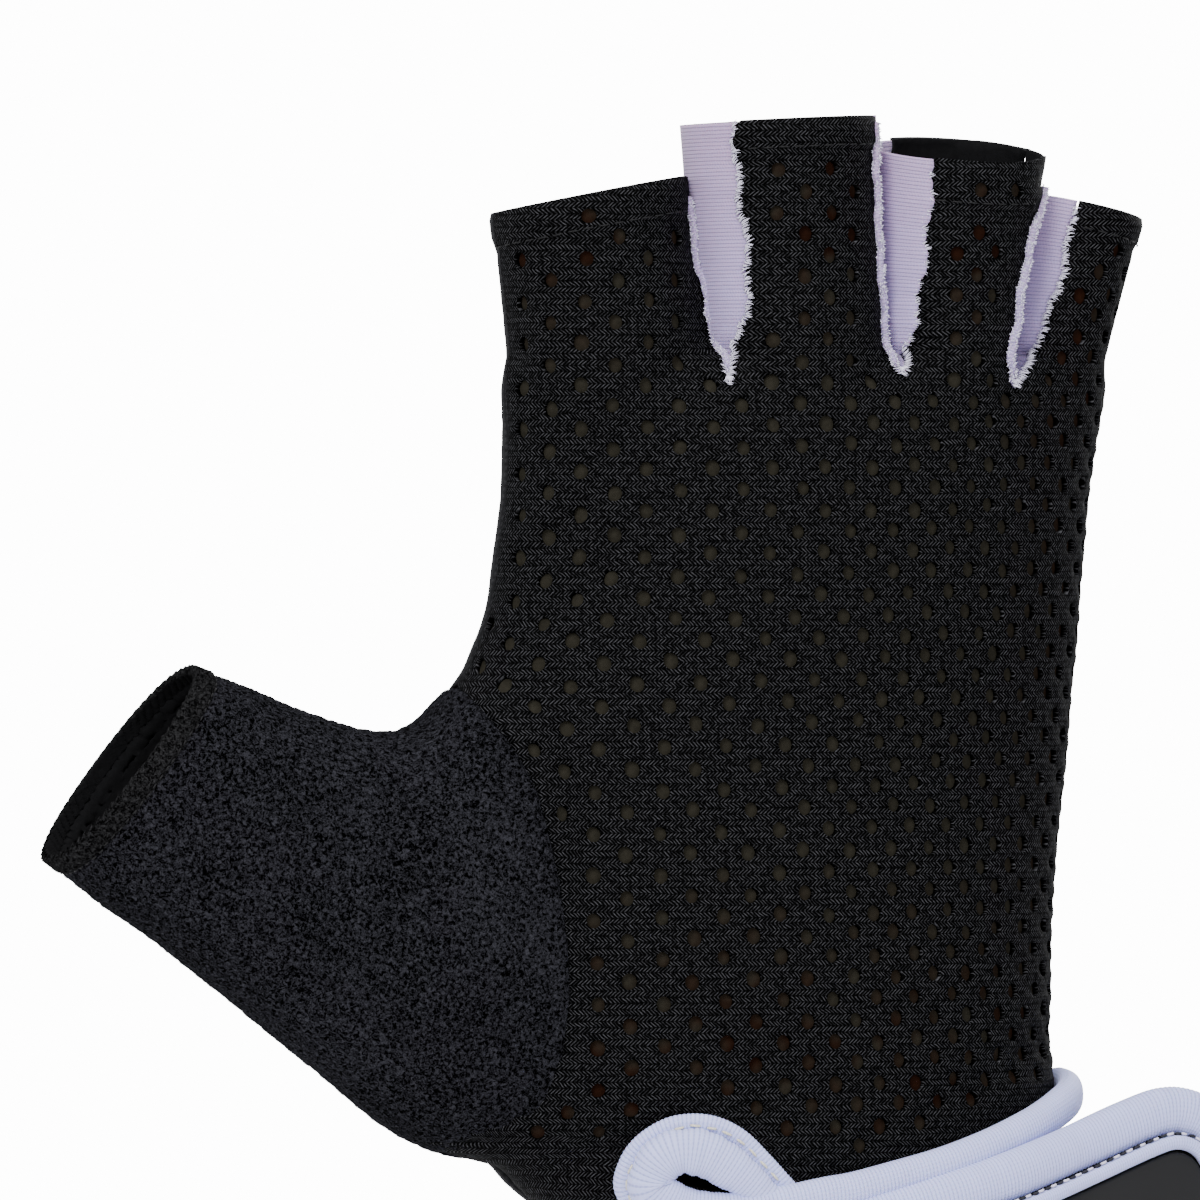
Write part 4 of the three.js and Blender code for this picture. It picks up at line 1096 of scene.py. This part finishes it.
def addThumb():
    angles = 2 * np.pi * np.arange(thumb["around"]) / thumb["around"]
    probe = np.linspace(0, 1, 90)
    share, angle = np.meshgrid(probe, angles, indexing="ij")
    middle = thumbFrame(probe)[0]
    ring = thumbRing(share, angle)
    origins = np.repeat(middle[:, None, :], thumb["around"], axis=1)
    found = castOut(origins.reshape(-1, 3), unit(ring - origins).reshape(-1, 3)).reshape(ring.shape)
    sides = seamSide(found[..., 0], found[..., 2])
    ends = np.empty(thumb["around"])
    for k in range(thumb["around"]):
        past = np.nonzero(sides[:, k] > 0)[0]
        i = past[0] if len(past) else len(probe) - 1
        part = -sides[i - 1, k] / max(sides[i, k] - sides[i - 1, k], 1e-6)
        ends[k] = probe[i - 1] + min(max(part, 0), 1) * (probe[i] - probe[i - 1])
    for _ in range(2):
        ends = (np.roll(ends, 1) + 2 * ends + np.roll(ends, -1)) / 4
    ends = np.minimum(ends + thumb["overlap"], 1)
    shares = np.linspace(0, 1, thumb["rows"])[:, None] * ends[None, :]
    middle = thumbFrame(shares)[0]
    ring = thumbRing(shares, np.broadcast_to(angles, shares.shape))
    found = castOut(middle.reshape(-1, 3), unit(ring - middle).reshape(-1, 3)).reshape(ring.shape)
    count = thumb["around"]
    faces = ringFaces(thumb["rows"], count)
    flat = found.reshape(-1, 3)
    quads = np.array(faces)
    normals = pointNormals(flat, np.vstack([quads[:, :3], quads[:, [0, 2, 3]]])).reshape(found.shape)
    if (normals[40, 60] * (found[40, 60] - middle[40, 60])).sum() < 0:
        normals = -normals
        faces = [face[::-1] for face in faces]
    along, around = runLength(found), runLength(found, axis=1)
    pile = thumb["pile"] * (waver(flat, 1.15, 2.0) + 0.6 * waver(flat, 2.3, 5.0)).reshape(along.shape)
    hem = smoothStep((thumb["hem"] - along) / 0.5)
    pile = pile * (1 - 0.8 * hem) + hem * (0.25 + 0.16 * np.sin(around * 2 * np.pi / 1.5 + along * 1.6))
    pile -= 0.3 * np.exp(-((along - thumb["hem"] - 0.25) / 0.3) ** 2)
    fromSeam = along[-1:, :] - along
    pile -= thumb["seamDip"] * np.exp(-(fromSeam / 0.9) ** 2)
    pile += 0.3 * waver(flat, 0.09, 8.0).reshape(along.shape)
    pile += 0.25 * np.exp(-(fromSeam / 5) ** 2) * waver(flat * [1, 1, 2.2], 0.22, 6.0).reshape(along.shape)
    points = found + normals * pile[..., None]
    hemFaces = (along[:-1, :] < thumb["hem"]).reshape(-1).astype(int)
    piece = makePiece("thumbSleeve", points.reshape(-1, 3), faces,
                      [terryBlack, hemBlack, insideBlack, insideBlack], ("thumb_sleeve",),
                      np.stack([around, along], axis=-1).reshape(-1, 2), hemFaces)
    thicken(piece, thumb["thickness"], 2)
    turned = np.argmin(np.abs(along - thumb["hem"]), axis=0)
    columns = np.arange(count)
    return found[turned, columns], normals[turned, columns]


thumbHem, thumbHemFacing = addThumb()
print("thumb")

gusset = {"inset": 0.35, "thickness": 0.7, "ribPitch": 0.53, "across": 34, "step": 0.5, "webRows": 15,
          "webDrop": 1.6, "bulge": 1.2}


def addGusset(item):
    left, right = stalls[item["stall"]], stalls[item["stall"] + 1]
    shares = np.linspace(0, 1, gusset["across"])
    leftTop = stallTop(left)

    def wallRow(stall, z, seamX, toRight):
        middle, half = stallSize(stall, z)
        rise = stallRise(stall, z)
        reach = half + float(stallFlare(stall, rise)) if toRight else half
        cosine = np.clip((seamX - middle) / reach, -0.97, 0.97)
        start = math.acos(cosine)
        angle = start + (-start - start) * shares if toRight else start + (2 * math.pi - 2 * start) * shares
        points = stallPoint(stall, rise, angle)
        points[:, 2] = z + (points[:, 2] - palmHigh - rise * stall["length"] * hand["fingerLength"])
        centre = np.array([middle, stall["set"] * palmDeep, 0])
        inward = unit((centre - points) * [1, 1, 0])
        puffed = 0 if toRight else gusset["bulge"] * np.sin(np.pi * shares)[:, None] ** 0.7
        return points + inward * (gusset["inset"] - puffed)

    rows = []
    for z in np.arange(leftTop, palmHigh, -gusset["step"]):
        rows.append(wallRow(left, z, gussetSeams(item, z)[0], True))
    leftSeam, rightSeam = gussetSeams(item, palmHigh)
    lastLeft = wallRow(left, palmHigh, leftSeam, True)
    firstRight = wallRow(right, palmHigh, rightSeam, False)
    tipX, tipZ = item["tip"]
    outer = np.abs(2 * shares - 1) ** 5
    for part in np.linspace(0, 1, gusset["webRows"]):
        arch = 4 * part * (1 - part)
        row = lastLeft * (1 - part) + firstRight * part
        drop = gusset["webDrop"] * (1 - outer) + (palmHigh - tipZ - 0.2) * outer
        row[:, 2] = palmHigh - drop * (arch ** 0.6)
        surface = onForm(row[:, 0], np.minimum(row[:, 2], 151.0), -1)
        behind = onForm(row[:, 0], np.minimum(row[:, 2], 151.0), 1)
        depth = surface[:, 1] * (1 - shares) + behind[:, 1] * shares
        pull = (arch ** 0.5) * outer
        row[:, 1] = row[:, 1] * (1 - pull) + (depth + np.where(shares < 0.5, 1, -1) * gusset["inset"]) * pull
        rows.append(row)
    for z in np.arange(palmHigh, stallTop(right), gusset["step"]):
        rows.append(wallRow(right, z, gussetSeams(item, z)[1], False))
    rows = np.array(rows)
    along, across = runLength(rows[:, len(shares) // 3]), runLength(rows, axis=1)
    faces = ringFaces(len(rows), len(shares), closedAround=False)
    flat = rows.reshape(-1, 3)
    uv = np.stack([np.broadcast_to(along[:, None] / gusset["ribPitch"], across.shape), across], axis=-1)
    # the black cloth of the left finger folds over the top of its wall
    folded = np.arange(len(rows)) < (leftTop - item.get("whiteTop", leftTop)) / gusset["step"]
    piece = makePiece("gusset" + item["name"], flat, faces, [gussetWhite, insideBlack],
                      (item["node"],), uv.reshape(-1, 2), np.repeat(folded[:-1], len(shares) - 1).astype(int))
    quads = np.array(faces)
    normals = pointNormals(flat, np.vstack([quads[:, :3], quads[:, [0, 2, 3]]])).reshape(rows.shape)
    facesGap = normals[10, len(shares) // 2, 0] > 0
    if facesGap == item.get("thickOutwards", False):
        piece.data.flip_normals()
    thicken(piece, gusset["thickness"])


fringe = {
    "roll": 1.15, "rollStep": 0.13, "ribPitch": 0.42, "ribDepth": 0.07,
    "fibreStep": 0.04,
    "threadStep": 0.16, "thread": 0.68, "threadRadius": 0.11,
    "tipThreads": 7,
}


def facings(line, stall, side):
    # straight out of the finger, turning to straight out of the panel below the webs
    centre = np.stack([stallSize(stall, np.maximum(line[:, 2], palmHigh))[0],
                       np.full(len(line), stall["set"] * palmDeep), line[:, 2]], axis=1)
    out = unit((line - centre) * [1, 1, 0])
    share = smoothStep((line[:, 2] - 147) / 6)[:, None]
    return unit(out * share + np.array([0, side, 0.0]) * (1 - share))


def seamLine(stall, across, heights, side):
    # one seam of a gusset on the form, stopping short of the rim
    line = onForm(across, heights, side)
    return line[line[:, 2] < rimHeight(stall, line[:, 0], line[:, 1]) - 0.4]


def addFringe(item, side):
    # overlocked edge: a rolled strip on the left finger, and threads that stand over the black edge
    left, right = stalls[item["stall"]], stalls[item["stall"] + 1]
    tipX, tipZ = item["tip"]
    name = item["name"] + ("Back" if side < 0 else "Palm")
    down = np.arange(min(stallTop(left) - 0.5, item.get("whiteTop", stallTop(left))), tipZ, -0.5)
    up = np.arange(stallTop(right) - 0.5, tipZ, -0.5)[::-1]
    leftLine = seamLine(left, gussetSeams(item, down)[0], down, side)
    rightLine = seamLine(right, gussetSeams(item, up)[1], up, side)
    leftFacing = facings(leftLine, left, side)
    rightFacing = facings(rightLine, right, side)
    # the rolled strip
    keep = leftLine[:, 2] > tipZ + 1.2
    path = leftLine[keep] + leftFacing[keep] * 0.12 + np.array([0.35, 0, 0])
    data, along = respace(np.hstack([path, leftFacing[keep]]), path, fringe["rollStep"])
    widths = fringe["roll"] * np.minimum(1, 0.35 + (along[-1] - along) / 3)
    points, faces, uv = sweepRoll(data[:, :3], unit(data[:, 3:]), widths, widths * 0.9, 12, along,
                                  fringe["ribPitch"], fringe["ribDepth"])
    makePiece("gussetStrip" + name, points, faces, [gussetWhite], (), uv)
    # fibres that stand off the strip
    count = int(along[-1] / fringe["fibreStep"])
    spots = chance.uniform(0, along[-1], count)
    centre, out = readAt(spots, along, data[:, :3]), readAt(spots, along, data[:, 3:])
    run = unit(readAt(spots, along, np.gradient(data[:, :3], axis=0)))
    angle = chance.uniform(0, 2 * np.pi, count)[:, None]
    away = unit(np.cross(run, out)) * np.cos(angle) + unit(out) * np.sin(angle)
    slant = run * chance.normal(0, 0.2, count)[:, None]
    roots = [centre + away * 0.45]
    tips = [centre + away * chance.uniform(0.62, 0.95, count)[:, None] + slant]
    bends = [slant * 0.3]
    # threads along both seams: half as close and a little shorter on the left one
    for line, facing, sign, density, share in ((leftLine, leftFacing, -1, 0.5, 0.7),
                                               (rightLine, rightFacing, 1, 1.0, 1.0)):
        data, along = respace(np.hstack([line, facing]), line, fringe["threadStep"] / density)
        count = len(data)
        out = unit(data[:, 3:])
        aside = unit(np.cross(unit(np.gradient(data[:, :3], axis=0)), out))
        aside *= sign * np.sign(aside[:, :1] + 1e-9)
        length = fringe["thread"] * chance.uniform(0.55, 1.25, count)[:, None] * share
        rise = np.array([0, 0, 1.0]) * (chance.uniform(0.1, 0.9, count)[:, None])
        root = data[:, :3] - aside * 0.55 + out * 0.05 + chance.normal(0, 0.08, (count, 3))
        roots.append(root)
        tips.append(root + unit(aside + rise * 0.6 + chance.normal(0, 0.18, (count, 3))) * (length + 0.45))
        bends.append(out * chance.uniform(0.18, 0.4, count)[:, None])
    # a small fan of threads at the tip
    tip = onForm(np.array([tipX]), np.array([tipZ]), side)[0]
    spread = np.linspace(-1, 1, fringe["tipThreads"])
    flat = 0 * spread
    roots.append(tip + np.stack([spread * 0.3, flat + side * 0.02, flat + 1.3], axis=1))
    drop = 0.1 + 0.9 * np.abs(spread) + chance.normal(0, 0.2, fringe["tipThreads"])
    tips.append(tip + np.stack([spread * 0.8, flat + side * 0.1, drop], axis=1))
    bends.append(np.stack([flat, flat + side * 0.2, flat], axis=1))
    points, faces = strands(np.vstack(roots), np.vstack(tips), np.vstack(bends), fringe["threadRadius"])
    makePiece("gussetFringe" + name, points, faces, [fringeWhite])


for item in gussets:
    addGusset(item)
    for side in (-1, 1):
        addFringe(item, side)
print("gussets")

stitches = {
    # length, gap and radius
    "hem": (1.5, 0.7, 0.11),
    "thumb": (0.9, 0.6, 0.12),
    "keyhole": (1.5, 0.8, 0.19),
    "strap": (1.1, 1.3, 0.2),
}


def addStitches(name, line, facing, material, kind):
    length, gap, radius = stitches[kind]
    data, along = respace(np.hstack([line, facing]), line, 0.1)
    starts = np.arange(0.2, along[-1] - length, length + gap)
    first, last = readAt(starts, along, data), readAt(starts + length, along, data)
    out = unit(first[:, 3:])
    wobble = chance.normal(0, 0.05, first[:, :3].shape)
    points, faces = strands(first[:, :3] + wobble, last[:, :3], out * radius * 1.2, radius, sides=6, blunt=True)
    makePiece(name, points, faces, [material])


for i, stall in enumerate(stalls):
    leftU = sideSeam(175, "left") + 0.5 if i == 0 else gussetSeams(gussets[i - 1], 172.0)[1] + 0.6
    rightU = sideSeam(175, "right") - 0.5 if i == 3 else gussetSeams(gussets[i], 172.0)[0] - 0.6
    line = rimLine(stall, float(leftU), float(rightU), -1) - [0, stall["hem"] - 0.5]
    found = onForm(line[:, 0], line[:, 1], -1)
    middle = np.array([stall["top"] * palmWide, stall["set"] * palmDeep, 0])
    facing = unit((found - middle) * [1, 1, 0])
    addStitches("hemStitches" + str(i + 1), found + facing * 0.3, facing, darkThread, "hem")
addStitches("thumbStitches", thumbHem, thumbHemFacing, darkThread, "thumb")
print("hem stitches")

cuff = {
    "fit": 0.3, "high": 3.8, "ribPitch": 0.56, "ribDepth": 0.11, "sides": 28, "pucker": 0.12,
    # share of the roll's length and its width or height there; it swells where it goes round the slit's end
    "widths": [(0, 3.6), (0.03, 5), (0.08, 5.4), (0.4, 4.8), (0.6, 4.6), (0.67, 5.4), (0.74, 5.6), (0.82, 6.4),
               (0.93, 6.3), (1, 4)],
    "heights": [(0, 2.6), (0.03, 3.8), (0.4, 3.8), (0.66, 3.7), (0.8, 4.3), (0.93, 4), (1, 2.6)],
}
# turn round the hand and height
cuffEdge = np.array([
    (-9, 0.327), (8, 0.319), (26, 0.307), (44, 0.287), (58, 0.27), (70, 0.256), (80, 0.246), (89, 0.236),
    (98, 0.228), (106, 0.222),
]) * [1, palmHigh]
# place across the back and height
slitEnd = np.array([
    (-0.262, 0.22), (-0.31, 0.223), (-0.352, 0.23), (-0.386, 0.243), (-0.382, 0.263), (-0.352, 0.274),
    (-0.31, 0.271), (-0.27, 0.258), (-0.236, 0.243), (-0.208, 0.23),
]) * [palmWide, palmHigh]
keyholeBand = np.array([
    (-0.392, 0.219), (-0.425, 0.239), (-0.424, 0.263), (-0.398, 0.284), (-0.352, 0.297), (-0.296, 0.296),
    (-0.252, 0.283), (-0.218, 0.264), (-0.192, 0.248), (-0.172, 0.236),
]) * [palmWide, palmHigh]


def onBack(marks):
    return np.stack([turnAt(marks[:, 0], marks[:, 1]), marks[:, 1]], axis=1)


def surfacePath(marks, lift):
    # marks are turn and height; the path is smoothed and lifted off the palm's own surface
    line = smoothPath(marks, perSpan=20)
    facing = palmNormal(line[:, 0], line[:, 1])
    return palmPoint(line[:, 0], line[:, 1]) + facing * lift, facing


def addCuffRoll():
    path, facing = surfacePath(np.vstack([cuffEdge, onBack(slitEnd)]), cuff["fit"] + cuff["high"] / 2)
    data, along = respace(np.hstack([path, facing]), path, cuff["ribPitch"] / 4)
    share = along / along[-1]
    wide = np.interp(share, *np.transpose(cuff["widths"]))
    high = np.interp(share, *np.transpose(cuff["heights"]))
    pucker = 1 + cuff["pucker"] * waverAlong(along, 0.55, 2.2) * smoothStep((share - 0.6) * 8)
    points, faces, uv = sweepRoll(data[:, :3], unit(data[:, 3:]), wide * pucker, high * pucker,
                                  cuff["sides"], along, cuff["ribPitch"], cuff["ribDepth"])
    piece = makePiece("cuffRoll", points, faces, [bindingLavender], ("cuff_binding",), uv)


band = {
    "lift": 1.1, "wide": 2.7, "high": 1.7, "sides": 20, "ribPitch": 0.56, "ribDepth": 0.09,
    "slitMiddle": (-28.0, 38.4),
    "seamShare": 0.95,  # the seam runs just inside the band
    "seamLift": 2.2,
}


def addKeyholeBand():
    path, facing = surfacePath(onBack(keyholeBand), band["lift"])
    data, along = respace(np.hstack([path, facing]), path, band["ribPitch"] / 4)
    points, faces, uv = sweepRoll(data[:, :3], unit(data[:, 3:]), band["wide"], band["high"], band["sides"],
                                  along, band["ribPitch"], band["ribDepth"])
    makePiece("keyholeBand", points, faces, [bindingLavender], ("keyhole_band",), uv)
    middle = np.array(band["slitMiddle"])
    line, facing = surfacePath(onBack(middle + band["seamShare"] * (keyholeBand - middle)), band["seamLift"])
    addStitches("keyholeStitches", line, facing, creamThread, "keyhole")


addCuffRoll()
addKeyholeBand()
print("cuff and keyhole bindings")

strap = {
    "half": 12.8,  # from its middle to the middle of its roll
    "start": 3.2, "thick": 2.0, "corner": 10, "fit": 0.3,
    "rollWide": 6.8, "rollHigh": 4.6, "ribPitch": 0.58, "ribDepth": 0.1,
    "pipingWide": 2.0, "pipingPitch": 0.42, "pipingDepth": 0.06,
    "patchLength": 43, "patchThick": 1.3, "patchGap": 0.3, "patchBevel": 0.45, "patchCrown": 0.12,
}
strapLine = np.array([
    (-0.295, -0.27, 0.094), (-0.2, -0.42, 0.1), (-0.06, -0.495, 0.12), (0.08, -0.49, 0.141), (0.2, -0.43, 0.16),
    (0.36, -0.3, 0.189), (0.52, -0.21, 0.221), (0.65, -0.16, 0.237),
]) * [palmWide, palmDeep, palmHigh] - [0, strap["fit"] + strap["rollHigh"] / 2, 0]
strapPath = smoothPath(strapLine, perSpan=60)
strapAlong = runLength(strapPath)
strapRun = unit(np.gradient(strapPath, axis=0))
strapLength = strapAlong[-1]


def strapPoint(along, rise, out=0.0):
    # along the strap, up across it and out from its middle
    along, rise, out = np.broadcast_arrays(*[np.asarray(value, float) for value in (along, rise, out)])
    inside = np.clip(along, 0, strapLength)
    point = readAt(inside, strapAlong, strapPath)
    run = unit(readAt(inside, strapAlong, strapRun))
    facing = unit(np.cross(run, [0, 0, 1.0]))
    high = np.cross(facing, run)
    point = point + run * (along - inside)[..., None] + high * rise[..., None] + facing * out[..., None]
    return point, facing


def roundedEdge(start, end, half, corner):
    quarter = np.linspace(0, np.pi / 2, 14)
    left, right, low, high = start + corner, end - corner, corner - half, half - corner
    marks = []
    corners = ((right, low, -np.pi / 2), (right, high, 0), (left, high, np.pi / 2), (left, low, np.pi))
    for along, rise, first in corners:
        angle = first + quarter
        marks.append(np.stack([along + corner * np.cos(angle), rise + corner * np.sin(angle)], axis=1))
    edge = np.vstack(marks)
    return respace(edge, edge, 0.6, closed=True)[0]


def halfWidth(along, start, end, half, corner):
    near = np.clip(np.minimum(along - start, end - along), 0, corner)
    return half - corner + np.sqrt(corner ** 2 - (corner - near) ** 2)


def platePiece(name, start, end, half, corner, low, high, bevel, crown, material, node,
               steps=90, columns=15):
    # a round-cornered plate that follows the strap, its upper edge rounded and its face slightly crowned
    spots = start + (end - start) * (1 - np.cos(np.linspace(0, np.pi, steps))) / 2
    reach = halfWidth(spots, start, end, half, corner)
    near = np.minimum(spots - start, end - spots)
    endDrop = bevel * (1 - np.sqrt(1 - (1 - np.clip(near / bevel, 0, 1)) ** 2))
    rings = []
    for along, wide, drop in zip(spots, reach, endDrop):
        arc = np.linspace(0, np.pi / 2, 5)
        edgeRise = wide - bevel + bevel * np.cos(arc)
        edgeOut = high - bevel + bevel * np.sin(arc)
        face = np.linspace(wide - bevel, -(wide - bevel), columns)[1:-1]
        rise = np.concatenate([[-wide, wide], edgeRise, face, -edgeRise[::-1]])
        top = high + crown * (1 - (face / max(wide, 1)) ** 2)
        out = np.concatenate([[low, low], edgeOut, top, edgeOut[::-1]])
        out[2:] -= drop
        rings.append(strapPoint(along, rise, out)[0])
    rings = np.array(rings)
    count = rings.shape[1]
    faces = ringFaces(steps, count)
    faces.append(list(range(count))[::-1])
    faces.append([(steps - 1) * count + k for k in range(count)])
    sections = np.linalg.norm(np.diff(rings, axis=1, prepend=rings[:, :1]), axis=-1).cumsum(axis=1)
    uv = np.stack([np.broadcast_to(spots[:, None], sections.shape), sections], axis=-1)
    return makePiece(name, rings.reshape(-1, 3), faces, [material], (node,), uv.reshape(-1, 2))


def edgeRoll(name, edge, out, wide, high, sides, pitch, depth, node):
    point, facing = strapPoint(edge[:, 0], edge[:, 1], out)
    data, along = respace(np.hstack([point, facing]), point, pitch / 4, closed=True)
    points, faces, uv = sweepRoll(data[:, :3], unit(data[:, 3:]), wide, high, sides, along, pitch, depth,
                                  closed=True)
    return makePiece(name, points, faces, [bindingLavender], (node,), uv)


def addStrap():
    half, start, corner = strap["half"], strap["start"], strap["corner"]
    end = strapLength - start
    face = strap["thick"] / 2
    platePiece("wristStrap", start, end, half, corner, -face, face, 0.3, 0.0, palmBlack,
               "wrist_strap")
    roll = edgeRoll("strapRoll", roundedEdge(start, end, half, corner), 0.0, strap["rollWide"], strap["rollHigh"],
                    18, strap["ribPitch"], strap["ribDepth"], "strap_binding")
    piping = strap["pipingWide"]
    inset = start + piping + 0.1
    patchEnd, patchHalf, patchCorner = end - inset, half - inset, corner - inset
    patchStart = patchEnd - strap["patchLength"]
    low = face + strap["fit"]

    def roundPatch(out):
        return roundedEdge(patchStart - out, patchEnd + out, patchHalf + out, patchCorner + out)

    edgeRoll("patchPiping", roundPatch(piping / 2), low + piping / 2, piping, piping, 14, strap["pipingPitch"],
             strap["pipingDepth"], "patch_piping")
    gap = strap["patchGap"]
    platePiece("rubberPatch", patchStart + gap, patchEnd - gap, patchHalf - gap, patchCorner, low,
               low + strap["patchThick"], strap["patchBevel"], strap["patchCrown"], rubber,
               "strap_patch")
    # stitches in the valley outside the piping, dark and pale in turn
    valley = roundPatch(piping + 0.25)
    line, facing = strapPoint(valley[:, 0], valley[:, 1], face + 1.25)
    for name, thread, shift in (("strapStitchesDark", greyThread, 0), ("strapStitchesPale", fringeWhite, 2)):
        order = (np.arange(len(line) + (shift == 0)) - shift) % len(line)
        addStitches(name, line[order], facing[order], thread, "strap")


addStrap()
print("strap, piping and patch")
